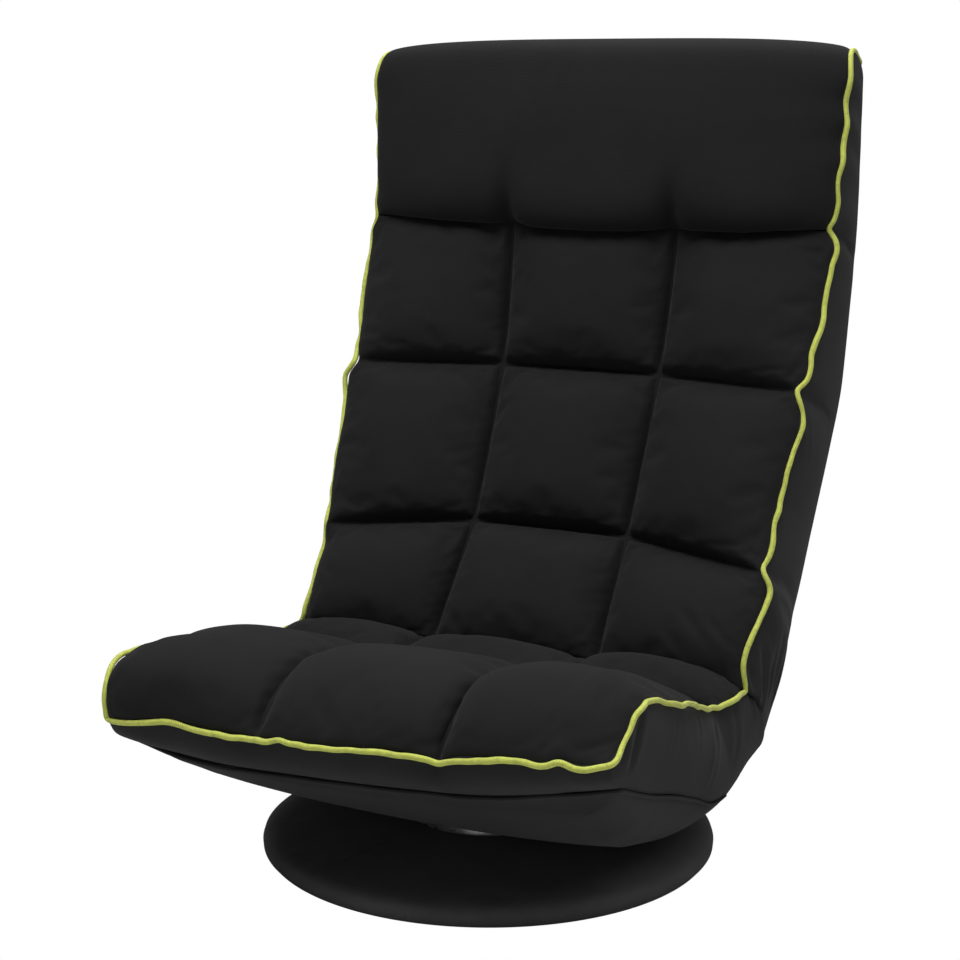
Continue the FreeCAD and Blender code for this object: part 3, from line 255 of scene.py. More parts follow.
def applied(obj):
    """The object with its modifiers made part of its mesh."""
    shown = obj.evaluated_get(bpy.context.evaluated_depsgraph_get())
    mesh = bpy.data.meshes.new_from_object(shown)
    obj.modifiers.clear()
    old, obj.data = obj.data, mesh
    bpy.data.meshes.remove(old)
    return obj


def refine(obj, levels=1):
    sub = obj.modifiers.new("Finer", "SUBSURF")
    sub.levels = sub.render_levels = levels
    return applied(obj)


def thicken(obj, wall, offset):
    """Gives a sheet its wall: offset -1 puts it behind the faces, 1 before them, 0 half on each side."""
    cloth = obj.modifiers.new("Cloth", "SOLIDIFY")
    cloth.thickness = wall * MM
    cloth.offset = offset
    return refine(applied(obj))


def surface_uv(grid):
    """Lengths along a grid's rows and columns, for the weave."""
    across = np.linalg.norm(np.diff(grid, axis=1), axis=-1).mean(0)
    along = np.linalg.norm(np.diff(grid, axis=0), axis=-1).mean(1)
    u = np.concatenate([[0], np.cumsum(across)])
    v = np.concatenate([[0], np.cumsum(along)])
    return np.stack(np.broadcast_arrays(u[None, :], v[:, None]), -1)


def closed_pad(name, top, base):
    """A closed pad from a top grid and a base grid of the same size."""
    rows, cols = top.shape[:2]
    count = rows * cols
    faces = grid_faces(rows, cols)
    faces += [tuple(reversed(f)) for f in grid_faces(rows, cols, count)]
    rim = [(0, c) for c in range(cols)] + [(r, cols - 1) for r in range(1, rows)]
    rim += [(rows - 1, c) for c in range(cols - 2, -1, -1)] + [(r, 0) for r in range(rows - 2, 0, -1)]
    rim = [r * cols + c for r, c in rim]
    for one, two in zip(rim, rim[1:] + rim[:1]):
        faces.append((one, one + count, two + count, two))
    uv = surface_uv(top).reshape(-1, 2)
    points = np.concatenate([top.reshape(-1, 3), base.reshape(-1, 3)])
    return tidy_mesh(add_mesh(name, points, faces, np.concatenate([uv, uv])), 0.001)


def tube(name, path, radius, sides=12, closed=False, flat=1.0):
    """A round cord along a line, with lengths along and around it as its UV."""
    path = np.asarray(path, float)
    if closed:
        ahead = np.roll(path, -1, 0) - np.roll(path, 1, 0)
    else:
        ahead = np.gradient(path, axis=0)
    ahead /= np.linalg.norm(ahead, axis=1, keepdims=True)
    side = np.cross(ahead[0], [0.0, 0.0, 1.0])
    if np.linalg.norm(side) < 0.1:
        side = np.cross(ahead[0], [0.0, 1.0, 0.0])
    sides_list = []
    for t in ahead:
        side = side - t * (side @ t)
        side /= np.linalg.norm(side)
        sides_list.append(side.copy())
    side = np.array(sides_list)
    up = np.cross(ahead, side)
    turn = np.linspace(0, 2 * math.pi, sides, endpoint=False)
    radius = np.broadcast_to(np.asarray(radius, float), (len(path),))
    rings = path[:, None] + radius[:, None, None] * (
        np.cos(turn)[None, :, None] * side[:, None] + flat * np.sin(turn)[None, :, None] * up[:, None]
    )
    rows = len(path)
    points = rings.reshape(-1, 3)
    faces = grid_faces(rows, sides, around=True)
    if closed:
        last = (rows - 1) * sides
        # The frame has turned a little by the end, so the last ring is joined at its nearest point.
        shift = int(np.linalg.norm(rings[0] - rings[-1][:1], axis=1).argmin())
        for c in range(sides):
            d = (c + 1) % sides
            faces.append((last + c, last + d, (d + shift) % sides, (c + shift) % sides))
    else:
        faces.append(tuple(range(sides)))
        faces.append(tuple((rows - 1) * sides + c for c in range(sides)))
    along = np.concatenate([[0], np.cumsum(np.linalg.norm(np.diff(path, axis=0), axis=1))])
    uv = np.stack(np.broadcast_arrays(along[:, None], (turn * radius.mean())[None, :]), -1)
    return tidy_mesh(add_mesh(name, points, faces, uv.reshape(-1, 2)), 0.001)


# Finishes.


def new_finish(name):
    material = bpy.data.materials.new(name)
    material.use_nodes = True
    tree = material.node_tree
    return material, tree, tree.nodes["Principled BSDF"]


def set_inputs(made, **values):
    """Sets a node's inputs by name, with underscores for the spaces in it."""
    for key, value in values.items():
        made.inputs[key.replace("_", " ")].default_value = value


def node(tree, kind, options=None, **values):
    """A new node with its options set, and its inputs by name."""
    made = tree.nodes.new(kind)
    for key, value in (options or {}).items():
        setattr(made, key, value)
    set_inputs(made, **values)
    return made


def maths(tree, operation, *inputs):
    """A maths node. An input is a number, or a socket to link."""
    made = node(tree, "ShaderNodeMath", {"operation": operation})
    for place, given in enumerate(inputs):
        if isinstance(given, float):
            made.inputs[place].default_value = given
        else:
            tree.links.new(given, made.inputs[place])
    return made.outputs["Value"]


def dyed(tree, shader, share, colour, darker, lighter, span=(0.0, 1.0)):
    """Runs the base colour from darker to lighter over a share."""
    ramp = node(tree, "ShaderNodeValToRGB")
    low, high = ramp.color_ramp.elements
    low.position, high.position = span
    low.color = (*(c * darker for c in colour), 1.0)
    high.color = (*(min(1.0, c * lighter) for c in colour), 1.0)
    tree.links.new(share, ramp.inputs["Fac"])
    tree.links.new(ramp.outputs["Color"], shader.inputs["Base Color"])


def bumped(tree, shader, height, strength, distance):
    bump = node(tree, "ShaderNodeBump", Strength=strength, Distance=distance)
    tree.links.new(height, bump.inputs["Height"])
    tree.links.new(bump.outputs["Normal"], shader.inputs["Normal"])


def threads(tree, where, turn, pitch, **values):
    """Parallel threads in the pattern's plane, turned by an angle, at a pitch in millimetres."""
    spin = node(tree, "ShaderNodeMapping", Rotation=(0.0, 0.0, turn))
    tree.links.new(where, spin.inputs["Vector"])
    options = {"wave_type": "BANDS", "bands_direction": "X"}
    wave = node(tree, "ShaderNodeTexWave", options, Scale=WAVE_PERIOD / (pitch * MM), **values)
    tree.links.new(spin.outputs["Vector"], wave.inputs["Vector"])
    return wave.outputs["Fac"]


def specks(tree, where, **values):
    noise = node(tree, "ShaderNodeTexNoise", **values)
    tree.links.new(where, noise.inputs["Vector"])
    return noise.outputs["Fac"]


def cloth_finish(name, colour, weave, by_uv=True, rough=0.9, sheen=0.04, worn=0.25, strength=0.22):
    """Woven cloth: two crossed threads, slubs in the yarn and a slightly uneven dye."""
    material, tree, shader = new_finish(name)
    place = node(tree, "ShaderNodeTexCoord")
    where = place.outputs["UV" if by_uv else "Object"]
    ways = [
        threads(tree, where, turn, weave, Distortion=1.2, Detail=1.0, Detail_Scale=2.0)
        for turn in (0.0, math.pi / 2)
    ]
    crossed = maths(tree, "MAXIMUM", *ways)
    slub = specks(tree, where, Scale=420.0, Detail=3.0)
    bumped(tree, shader, maths(tree, "MULTIPLY_ADD", slub, 0.8, crossed), strength, 0.0006)
    dye = specks(tree, place.outputs["Object"], Scale=14.0, Detail=6.0, Roughness=0.65)
    share = maths(tree, "MULTIPLY_ADD", crossed, 0.35, dye)
    dyed(tree, shader, share, colour, 1 - worn, 1 + worn, (0.35, 1.0))
    set_inputs(shader, Roughness=rough, Sheen_Weight=sheen, Sheen_Roughness=0.45, Specular_IOR_Level=0.25)
    return material


def piping_finish(name, colour):
    """Bias-cut piping: thread lines that wind round the cord."""
    material, tree, shader = new_finish(name)
    place = node(tree, "ShaderNodeTexCoord")
    wound = threads(tree, place.outputs["UV"], math.radians(42), 1.7, Distortion=1.0)
    slub = specks(tree, place.outputs["Object"], Scale=260.0, Detail=4.0)
    both = maths(tree, "MULTIPLY_ADD", wound, 0.5, slub)
    dyed(tree, shader, both, colour, 0.62, 1.25, (0.3, 0.95))
    bumped(tree, shader, both, 0.5, 0.0005)
    set_inputs(shader, Roughness=0.8, Sheen_Weight=0.15)
    return material


def steel_finish(name, colour, rough, metallic=1.0, brush=0.0):
    """Plated or painted steel with fine marks."""
    material, tree, shader = new_finish(name)
    place = node(tree, "ShaderNodeTexCoord")
    stretch = node(tree, "ShaderNodeMapping", Scale=(1.0, 1.0, 1.0 + brush))
    tree.links.new(place.outputs["Object"], stretch.inputs["Vector"])
    marks = specks(tree, stretch.outputs["Vector"], Scale=90.0, Detail=5.0)
    dyed(tree, shader, marks, colour, 0.85, 1.1)
    dull = node(tree, "ShaderNodeMapRange", To_Min=rough * 0.75, To_Max=rough * 1.3)
    tree.links.new(marks, dull.inputs["Value"])
    tree.links.new(dull.outputs["Result"], shader.inputs["Roughness"])
    bumped(tree, shader, marks, 0.08, 0.0004)
    set_inputs(shader, Metallic=metallic)
    return material


FINISHES = {}


def finish_of(slot):
    """The finish of a material slot of the record, made once."""
    if slot not in FINISHES:
        look = settings()
        fine = look.weave * 0.7
        makers = {
            "quilt_cloth": lambda: cloth_finish("Quilt cloth", look.quilt_colour, look.weave),
            "side_cloth": lambda: cloth_finish("Side cloth", look.side_colour, look.weave * 0.8),
            "plain_cloth": lambda: cloth_finish("Plain cloth", look.plain_colour, fine, strength=0.15),
            # The base cloth's colour is dark grey cloth lightened as painted fill light, which makes up for the
            # seat's shade on the base.
            "base_cloth": lambda: cloth_finish("Base cloth", look.base_colour_with_painted_fill, fine, strength=0.15),
            "piping_cloth": lambda: piping_finish("Piping cloth", look.piping_colour),
            "welt_cloth": lambda: cloth_finish("Welt cloth", look.side_colour, look.weave * 0.6),
            "grip_cloth": lambda: cloth_finish("Anti-slip cloth", (0.06, 0.06, 0.06), 2.4, by_uv=False),
            "foam": lambda: cloth_finish("Foam", (0.8, 0.78, 0.7), 1.5, by_uv=False, worn=0.08),
            "webbing": lambda: cloth_finish("Webbing", (0.1, 0.1, 0.1), 2.2, by_uv=False, strength=0.5),
            "frame_steel": lambda: steel_finish("Black powder coat", (0.035, 0.035, 0.037), 0.45, 0.0),
            "plate_steel": lambda: steel_finish("Zinc plate", (0.62, 0.62, 0.63), 0.28, 1.0, 0.0),
            "hinge_steel": lambda: steel_finish("Plated hinge steel", (0.55, 0.55, 0.56), 0.32, 1.0, 4.0),
            "ball_steel": lambda: steel_finish("Polished balls", (0.75, 0.75, 0.77), 0.12),
        }
        FINISHES[slot] = makers[slot]()
    return FINISHES[slot]


def dress(obj, slot):
    """Gives a piece its finish, as its only material."""
    obj.data.materials.clear()
    obj.data.materials.append(finish_of(slot))
    return obj


def bend_with_hinge(obj):
    """Bakes the cover's placement into its mesh, without tying it to the seat or the back."""
    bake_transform(obj)
    return obj


# The seam net of the quilt, as places that the side edges, pads, piping and bands share.

# How far the back's edge stands out of its straight flare: (height, right, left).
EDGE_WAVE = np.array([
    (-5, 4, -10), (18, 1, -13), (36, 1, -14), (60, 4, -13), (88, 7, -12), (102, 6, -11), (114, -2, -12),
    (128, 1, -9), (150, 0, -4), (187, -3, -1), (228, 0, 0), (262, 3, 4), (282, 2, 5), (297, -4, -6),
    (312, 2, 1), (335, 2, 4), (380, 1, 8), (420, 3, 11), (448, 5, 12), (461, -4, 3), (474, 3, 7),
    (490, 4, 5), (508, 3, 6), (526, 5, 6), (544, 1, 7), (562, 5, 8), (580, 0, 8), (597, 5, 9), (618, 2, 6),
    (640, -2, 2),
], float)
# The side seams of the back as (q, p), from the crease up.
BACK_SIDES = [
    [(-52, -1), (-61, 26), (-58, 60), (-51, 92), (-57, 112)],
    [(-57, 112), (-49, 140), (-48, 200), (-46, 262), (-51, 297)],
    [(-51, 297), (-45, 330), (-46, 385), (-48, 436), (-59, 461)],
]
# The column seams of the back as (q, p), behind the side seams in the middle rows.
BACK_COLUMNS = [
    [(-41, 6), (-36, 40), (-29, 94), (-23, 142)],
    [(-23, 142), (-22, 190), (-24, 250), (-29, 312)],
    [(-29, 312), (-33, 356), (-45, 412), (-60, 460)],
]
ROW_ENDS = [(-52, -1), (-57, 112), (-51, 297), (-59, 461)]
ROW_MIDS = [(-41, 6), (-23, 142), (-29, 312), (-60, 460)]
# Where the two column seams cross the row seams, from the crease up.
ROW_X = [(-90, 91), (-82, 89), (-85, 91), (-94, 92)]
# The side seams of the seat as (u, n), from the pinch to the front corners, and from the crease to the pinch.
RIGHT_FRONT = [
    (106, -3), (124, -1), (155, 1), (200, 8), (242, 14), (270, 14), (287, 12), (306, 5), (318, -4),
    (330, -19), (342, -34), (357, -45),
]
LEFT_FRONT = [
    (106, -3), (124, -1), (160, 2), (210, 5), (255, 7), (285, 10), (310, 14), (332, 15), (350, 12), (364, 4),
    (371, -7), (372, -24), (364, -44),
]
SEAT_REAR = [(37, 11), (56, 11), (82, 5), (106, -4)]
# The column seams of the seat as (u, n), the front row's and the rear row's.
SEAT_COLUMNS = [
    [(130, 6), (165, 8), (214, 10), (268, 10), (302, 5), (326, -10), (342, -28), (355, -50)],
    [(37, 17), (60, 17), (95, 12), (130, 6)],
]
# The seam over the top as (q, p), where the piping lies.
TOP_SEAM = (-57, 633)
# The head roll's side and its fullest section as (q, p), from the row seam up and over.
HEAD_SIDE = [
    (-59, 461), (-67, 484), (-83, 520), (-102, 572), (-116, 606), (-115, 625), (-98, 636), (-56, 634),
]
HEAD_FULL = [
    (-58, 459), (-76, 453), (-97, 471), (-115, 530), (-126, 592), (-126, 629), (-108, 647), (-83, 652),
    (-56, 635),
]
# The seat's front edge from left to right as (x, n, u), a line for each tuft, and the seam below as (x, n).
FRONT_EDGE = [
    [(-243, -44, 364), (-215, -43, 366), (-174, -40, 364), (-138, -45, 362), (-90, -49, 356)],
    [
        (-90, -49, 356), (-76, -48, 360), (-41, -50, 364), (13, -51, 365), (42, -49, 364), (74, -52, 361),
        (90, -58, 353),
    ],
    [
        (90, -58, 353), (106, -50, 360), (153, -48, 364), (190, -49, 363), (204, -43, 363), (216, -47, 362),
        (243, -45, 357),
    ],
]
FRONT_LOW = [
    (-240, -66), (-200, -75), (-146, -82), (-56, -85), (0, -86), (60, -86), (120, -84), (165, -79),
    (212, -71), (240, -66),
]


def edge_x(p, right):
    """The back's half width at a height, with the soft waves of its edge."""
    column = 1 if right else 2
    return half_width(p) + np.interp(p, EDGE_WAVE[:, 0], EDGE_WAVE[:, column])


def back_side_line(points, right, count):
    line = through([(q, p) for q, p in points], count)
    x = edge_x(line[:, 1], right)
    return back_xyz(x if right else -x, line[:, 0], line[:, 1])


def seat_half(u):
    """The seat's half width: drawn in at the pinches, full between them."""
    places = [30, 60, 92, 118, 150, 220, 285, 330, 356]
    widths = [245.0, 246.0, 245.0, 240.0, 245.0, 248.0, 247.0, 246.0, 243.0]
    return np.interp(u, places, widths)


def seat_side_line(front, right, count):
    """A side seam of the seat: its front or its rear part."""
    points = SEAT_REAR
    if front:
        points = RIGHT_FRONT if right else LEFT_FRONT
    line = through(points, count)
    x = seat_half(line[:, 0])
    return seat_xyz(x if right else -x, line[:, 0], line[:, 1])


def row_line(left, middles, right, count):
    """A row seam from side to side through both column seams, as one line for each column."""
    a, b = middles
    first = (left + a) / 2
    middle = (a + b) / 2
    last = (b + right) / 2
    return [
        through([left, first, a], count),
        through([a, middle, b], count),
        through([b, last, right], count),
    ]


def back_row_line(index, count):
    """A row seam of the back, as three lines."""
    ends, mids = ROW_ENDS[index], ROW_MIDS[index]
    left = back_xyz(-edge_x(ends[1], False), *ends)
    right = back_xyz(edge_x(ends[1], True), *ends)
    middles = [back_xyz(x, *mids) for x in ROW_X[index]]
    return row_line(left, middles, right, count)


def back_column_lines(index, count):
    """The two column seams of a row of the back."""
    middle = through(BACK_COLUMNS[index], count)
    t = np.linspace(0, 1, count)
    low, high = ROW_X[index], ROW_X[index + 1]
    return [
        back_xyz(low[k] + (high[k] - low[k]) * t, middle[:, 0], middle[:, 1]) for k in (0, 1)
    ]


def crevice(a, b, wide, high, inner):
    """The narrow fold along the seams inside a quilt, 1 on them. inner says which edges are such seams."""
    ways = (a * wide + 0 * b, (1 - a) * wide + 0 * b, b * high + 0 * a, (1 - b) * high + 0 * a)
    narrow, fade = 3.4, 18
    depth = np.max([np.exp(-((way / narrow) ** 2)) * seam for way, seam in zip(ways, inner)], 0)
    # It runs out towards the quilt's own outer edges.
    for way, seam in zip(ways, inner):
        if not seam:
            depth = depth * np.clip(way / fade, 0, 1)
    return depth


def pillow(a, b, power=2.1, sharp=0.54, lean=0.0):
    """The rise of a tuft over its seams, 0 on them and 1 in the middle."""
    b = np.clip(b, 0, 1) ** (1.0 + lean)

    def rise(t):
        return np.clip(1 - np.abs(2 * t - 1) ** power, 0, 1) ** sharp

    return rise(a) * rise(b)


class Quilt:
    """Rows of tufts between seam lines, gathered into one grid."""

    def __init__(self, across, along):
        self.across = across
        self.along = along
        self.base = []
        self.top = []
        self.seam = []

    def row(self, low, high, sides, crowns, inner, lean=0.0, sharp=0.54):
        """Adds a row. low and high are three seam lines each, sides the four edge lines.

        inner says whether the low and the high line are seams inside the quilt.
        """
        a = close_to_ends(self.across + 1)[None, :]
        b = close_to_ends(self.along + 1)[:, None]
        base_row, top_row, seam_row = [], [], []
        for column in range(3):
            base = patch(
                at_shares(low[column], a[0]),
                at_shares(high[column], a[0]),
                at_shares(sides[column], b[:, 0]),
                at_shares(sides[column + 1], b[:, 0]),
                a[0],
                b[:, 0],
            )
            rise = pillow(a, b, sharp=sharp, lean=lean) * crowns[column]
            wide = np.linalg.norm(base[0, -1] - base[0, 0])
            tall = np.linalg.norm(base[-1, 0] - base[0, 0])
            seams = (column > 0, column < 2, *inner)
            rise = rise - settings().seam_depth / MM * crevice(a, b, wide, tall, seams)
            top = base + grid_normals(base) * rise[..., None]
            seam = np.broadcast_to(np.minimum(np.minimum(a, 1 - a), np.minimum(b, 1 - b)), rise.shape)
            keep = slice(0 if column == 0 else 1, None)
            base_row.append(base[:, keep])
            top_row.append(top[:, keep])
            seam_row.append(seam[:, keep])
        keep = slice(0 if not self.base else 1, None)
        self.base.append(np.concatenate(base_row, 1)[keep])
        self.top.append(np.concatenate(top_row, 1)[keep])
        self.seam.append(np.concatenate(seam_row, 1)[keep])

    def grids(self):
        return np.concatenate(self.base), np.concatenate(self.top), np.concatenate(self.seam)


def puckers(top, seam, across, depth, pitch, reach):
    """Small gathers that run off the seams into the tufts."""
    normals = grid_normals(top)
    rng = np.random.default_rng(SEED)
    rows, cols = seam.shape
    run = np.linalg.norm(np.diff(top, axis=0), axis=-1).mean()
    near = np.exp(-((seam * across * run) / reach) ** 2) * (seam > 0)
    r, c = np.meshgrid(np.arange(rows), np.arange(cols), indexing="ij")
    phase = rng.uniform(0, 6.28, 3)
    wave = np.sin((r + 0.35 * c) * run * 6.283 / pitch + phase[0] + 1.4 * np.sin(r * 0.13 + phase[1]))
    wave += np.sin((c - 0.3 * r) * run * 6.283 / (1.3 * pitch) + phase[2] + 1.7 * np.sin(c * 0.11))
    return top + normals * (near * wave * depth)[..., None]


def inflate(obj, rest, held, pressure, frames, cap):
    """Lets a pad swell as cloth, held along its seams, and limits how far a point may go."""
    group = obj.vertex_groups.new(name="held")
    for weight in sorted(set(np.round(held, 2))):
        chosen = np.nonzero(np.round(held, 2) == weight)[0]
        if weight > 0:
            group.add([int(i) for i in chosen], float(weight), "REPLACE")
    cloth = obj.modifiers.new("Swell", "CLOTH")
    cloth.settings.quality = 5
    cloth.settings.mass = 0.25
    cloth.settings.tension_stiffness = 12
    cloth.settings.compression_stiffness = 6
    cloth.settings.shear_stiffness = 5
    cloth.settings.bending_stiffness = 0.4
    cloth.settings.use_pressure = True
    cloth.settings.uniform_pressure_force = pressure
    cloth.settings.shrink_min = -0.025
    cloth.settings.vertex_group_mass = "held"
    cloth.settings.effector_weights.gravity = 0
    cloth.point_cache.frame_start = 1
    cloth.point_cache.frame_end = frames
    scene = bpy.context.scene
    for step in range(1, frames + 1):
        scene.frame_set(step)
    shown = obj.evaluated_get(bpy.context.evaluated_depsgraph_get())
    co = np.empty(len(rest) * 3, np.float32)
    shown.data.vertices.foreach_get("co", co)
    co = co.reshape(-1, 3).astype(float) / MM
    obj.modifiers.remove(cloth)
    obj.vertex_groups.clear()
    scene.frame_set(1)
    moved = co - rest
    far = np.linalg.norm(moved, axis=1, keepdims=True)
    moved *= np.minimum(1, cap / np.maximum(far, 1e-6))
    obj.data.vertices.foreach_set("co", ((rest + moved) * MM).astype(np.float32).ravel())
    obj.data.update()
    return obj


def make_pad(name, quilt, depth, swell, folds=()):
    """Turns a quilt into a closed pad, swollen between its seams and finer at the end."""
    base, top, seam = quilt.grids()
    normals = grid_normals(top)
    for line, deep, width in folds:
        top = fold(top, normals, line, deep, width)
    top = puckers(top, seam, quilt.across, depth=0.35, pitch=9.0, reach=9.0)
    under = base - grid_normals(base) * depth
    inner = np.clip(seam * 6, 0, 1)[..., None]
    under = base * (1 - inner) + under * inner
    under[seam == 0] = (base - grid_normals(base) * RIM_DEPTH)[seam == 0]
    obj = closed_pad(name, top, under)
    if swell > 0:
        rest = np.empty(len(obj.data.vertices) * 3, np.float32)
        obj.data.vertices.foreach_get("co", rest)
        rest = rest.reshape(-1, 3).astype(float) / MM
        grip = np.concatenate([np.clip(1 - seam / 0.06, 0, 1).ravel(), np.ones(seam.size)])
        inflate(obj, rest, grip, swell, SWELL_FRAMES, settings().swell_limit / MM)
    return refine(obj)


# The pieces.


def seat_rows():
    """Seam lines and sides of the seat's two rows, front row first."""
    n = TUFT_ACROSS + 1
    m = TUFT_ALONG + 1
    row = row_line(
        seat_side_line(False, False, 2)[-1],
        [seat_xyz(-COLUMN, 130, 6), seat_xyz(COLUMN, 130, 6)],
        seat_side_line(False, True, 2)[-1],
        n,
    )
    front = [through([seat_xyz(x, u, n_) for x, n_, u in part], n) for part in FRONT_EDGE]
    crease = row_line(
        seat_side_line(False, False, 2)[0],
        [seat_xyz(-COLUMN, 37, 17), seat_xyz(COLUMN, 37, 17)],
        seat_side_line(False, True, 2)[0],
        n,
    )
    columns = []
    for index in (0, 1):
        middle = through(SEAT_COLUMNS[index], m)
        inner = [seat_xyz(x, middle[:, 0], middle[:, 1]) for x in (-COLUMN, COLUMN)]
        if index == 0:
            # The column seams end on the front edge, which is uneven.
            share = np.linspace(0, 1, m)[:, None] ** 3
            inner[0] = inner[0] + (front[0][-1] - inner[0][-1]) * share
            inner[1] = inner[1] + (front[2][0] - inner[1][-1]) * share
        columns.append([
            seat_side_line(index == 0, False, m),
            *inner,
            seat_side_line(index == 0, True, m),
        ])
    return front, row, crease, columns


def front_lip():
    """The seat's front edge from the left to the right corner, as one line."""
    front = seat_rows()[0]
    return np.concatenate([front[0], front[1][1:], front[2][1:]])


def make_seat_pad():
    front, row, crease, columns = seat_rows()
    quilt = Quilt(TUFT_ACROSS, TUFT_ALONG)
    crown = settings().seat_crown / MM
    front_sides = [side[::-1] for side in columns[0]]
    rear_sides = [side[::-1] for side in columns[1]]
    quilt.row(front, row, front_sides, (crown * 1.1, crown * 1.05, crown * 1.45), (False, True), lean=-0.18)
    quilt.row(row, crease, rear_sides, (crown * 1.5, crown * 1.2, crown * 1.9), (True, False))
    obj = make_pad("seat_quilt", quilt, PAD_DEPTH, settings().swell)
    dress(obj, "quilt_cloth")
    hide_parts("seat_pad", "seat_foam")
    bend_with_hinge(obj)
    return obj


# Folds in the lowest tufts of the back, as (x, q, p) places with their depth and width, right ones first.
BACK_QUILT_FOLDS = [
    ([(238, -62, 14), (205, -72, 42), (172, -74, 74)], 3.0, 5.0),
    ([(240, -66, 30), (215, -76, 52), (196, -78, 72)], 2.4, 4.0),
    ([(226, -60, 6), (190, -70, 26), (160, -74, 48)], 2.0, 5.0),
    ([(-232, -62, 100), (-205, -74, 80), (-180, -76, 84)], 3.0, 5.0),
    ([(-232, -64, 84), (-214, -74, 62), (-196, -76, 50)], 2.5, 5.0),
]


def make_back_pad():
    m = TUFT_ALONG + 1
    quilt = Quilt(TUFT_ACROSS, TUFT_ALONG)
    crown = settings().back_crown / MM
    rows = [back_row_line(index, TUFT_ACROSS + 1) for index in range(4)]
    for index in range(3):
        sides = [
            back_side_line(BACK_SIDES[index], False, m),
            *back_column_lines(index, m),
            back_side_line(BACK_SIDES[index], True, m),
        ]
        inner = (index > 0, index < 2)
        quilt.row(rows[index], rows[index + 1], sides, (crown, crown * 1.1, crown), inner, lean=-0.3)
    folds = placed_folds(BACK_QUILT_FOLDS, back_xyz)
    obj = make_pad("back_quilt", quilt, PAD_DEPTH, settings().swell, folds)
    dress(obj, "quilt_cloth")
    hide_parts("back_pad", "back_front_foam")
    bend_with_hinge(obj)
    return obj


# About the head roll's half width, the place (q, p) towards which its underside is drawn, and how far
# it hangs over the seam, from left to right.
HEAD_HALF = 255.0
HEAD_CORE = (-56, 560)
HEAD_HANG = ([-254, -170, -94, -50, 0, 50, 92, 170, 254], [0, 5, 0, 9, 12, 9, 0, 10, 2])


def make_head_roll():
    """One long cushion across the top, without column seams but drawn in where they end below it."""
    cols, rows = 97, 49
    x_share = np.linspace(-1, 1, cols)
    side = through(HEAD_SIDE, rows)
    t = np.linspace(0, 1, rows)
    full = through(HEAD_FULL, rows)
    top = np.empty((rows, cols, 3))
    base = np.empty((rows, cols, 3))
    for c, s in enumerate(x_share):
        right = s >= 0
        x = edge_x(side[:, 1], right) * abs(s)
        share = (1 - abs(s) ** 3.4) ** 0.5
        near = np.exp(-(((abs(s) * HEAD_HALF - COLUMN) / 12.0) ** 2)) * np.exp(-(t / 0.18) ** 2)
        share = share - 0.55 * near
        line = side + (full - side) * share[:, None]
        # The lower seam follows the row seam of the back.
        low = np.exp(-(t / 0.12) ** 2)
        drop = np.interp(abs(s) * HEAD_HALF, [0, COLUMN, 254], [457.0, 457.0, 461.0])
        line[:, 1] = line[:, 1] + low * (drop - line[0, 1])
        hang = np.interp(s * HEAD_HALF, *HEAD_HANG)
        line[:, 1] -= hang * np.exp(-(((t - 0.14) / 0.1) ** 2)) * np.clip(t / 0.05, 0, 1)
        sign = 1 if right else -1
        top[:, c] = back_xyz(sign * x, line[:, 0], line[:, 1])
        inner = side * 0.75 + np.array(HEAD_CORE) * 0.25
        base[:, c] = back_xyz(sign * x * 0.97, inner[:, 0], inner[:, 1])
    # Along the seams the cushion is thin.
    thin = 0.2
    for end in (0, -1):
        base[end] = top[end] + (base[end] - top[end]) * thin
    for end in (0, -1):
        base[:, end] = top[:, end] + (base[:, end] - top[:, end]) * thin
    obj = refine(closed_pad("head_cushion", top, base))
    dress(obj, "quilt_cloth")
    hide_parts("head_roll")
    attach(obj, "backrest")
    return obj


# The side cloth's lower edge as (u, n), from the front corner to the hinge.
BAND_LOW = [(322, -66), (219, -70), (143, -81), (100, -89), (62, -84), (27, -71), (8, -61), (-13, -53)]
# Its rear edge as (q, p), from below the hinge to the top.
REAR_LINE = [(37, -38), (48, -8), (56, 38), (58, 82), (65, 156), (72, 244), (76, 310), (74, 342), (66, 371)]
REAR_LINE += [(49, 420), (21, 496), (-28, 584), (-55, 629)]


def below_hinge(right):
    """Where the side cloth's lower edge meets its rear edge, below the hinge."""
    return back_xyz(EDGE if right else -EDGE, *REAR_LINE[0])


def corner_line(right, count):
    """The band's upright edge at the front corner."""
    sign = 1 if right else -1
    top = seat_side_line(True, right, 2)[-1]
    return through([top, seat_xyz(sign * 244, 349, -58), seat_xyz(sign * 240, 322, -66)], count)


def knuckle_line(right, count):
    """The line across the side cloth from the crease to the round rear below the hinge."""
    sign = 1 if right else -1
    crease = seat_side_line(False, right, 2)[0]
    low = below_hinge(right)
    middle = (crease + low) / 2 + np.array([sign * 5.0, 0, 0])
    return through([crease, middle, low], count)


def rear_x(p):
    return half_width(p) - 1.0


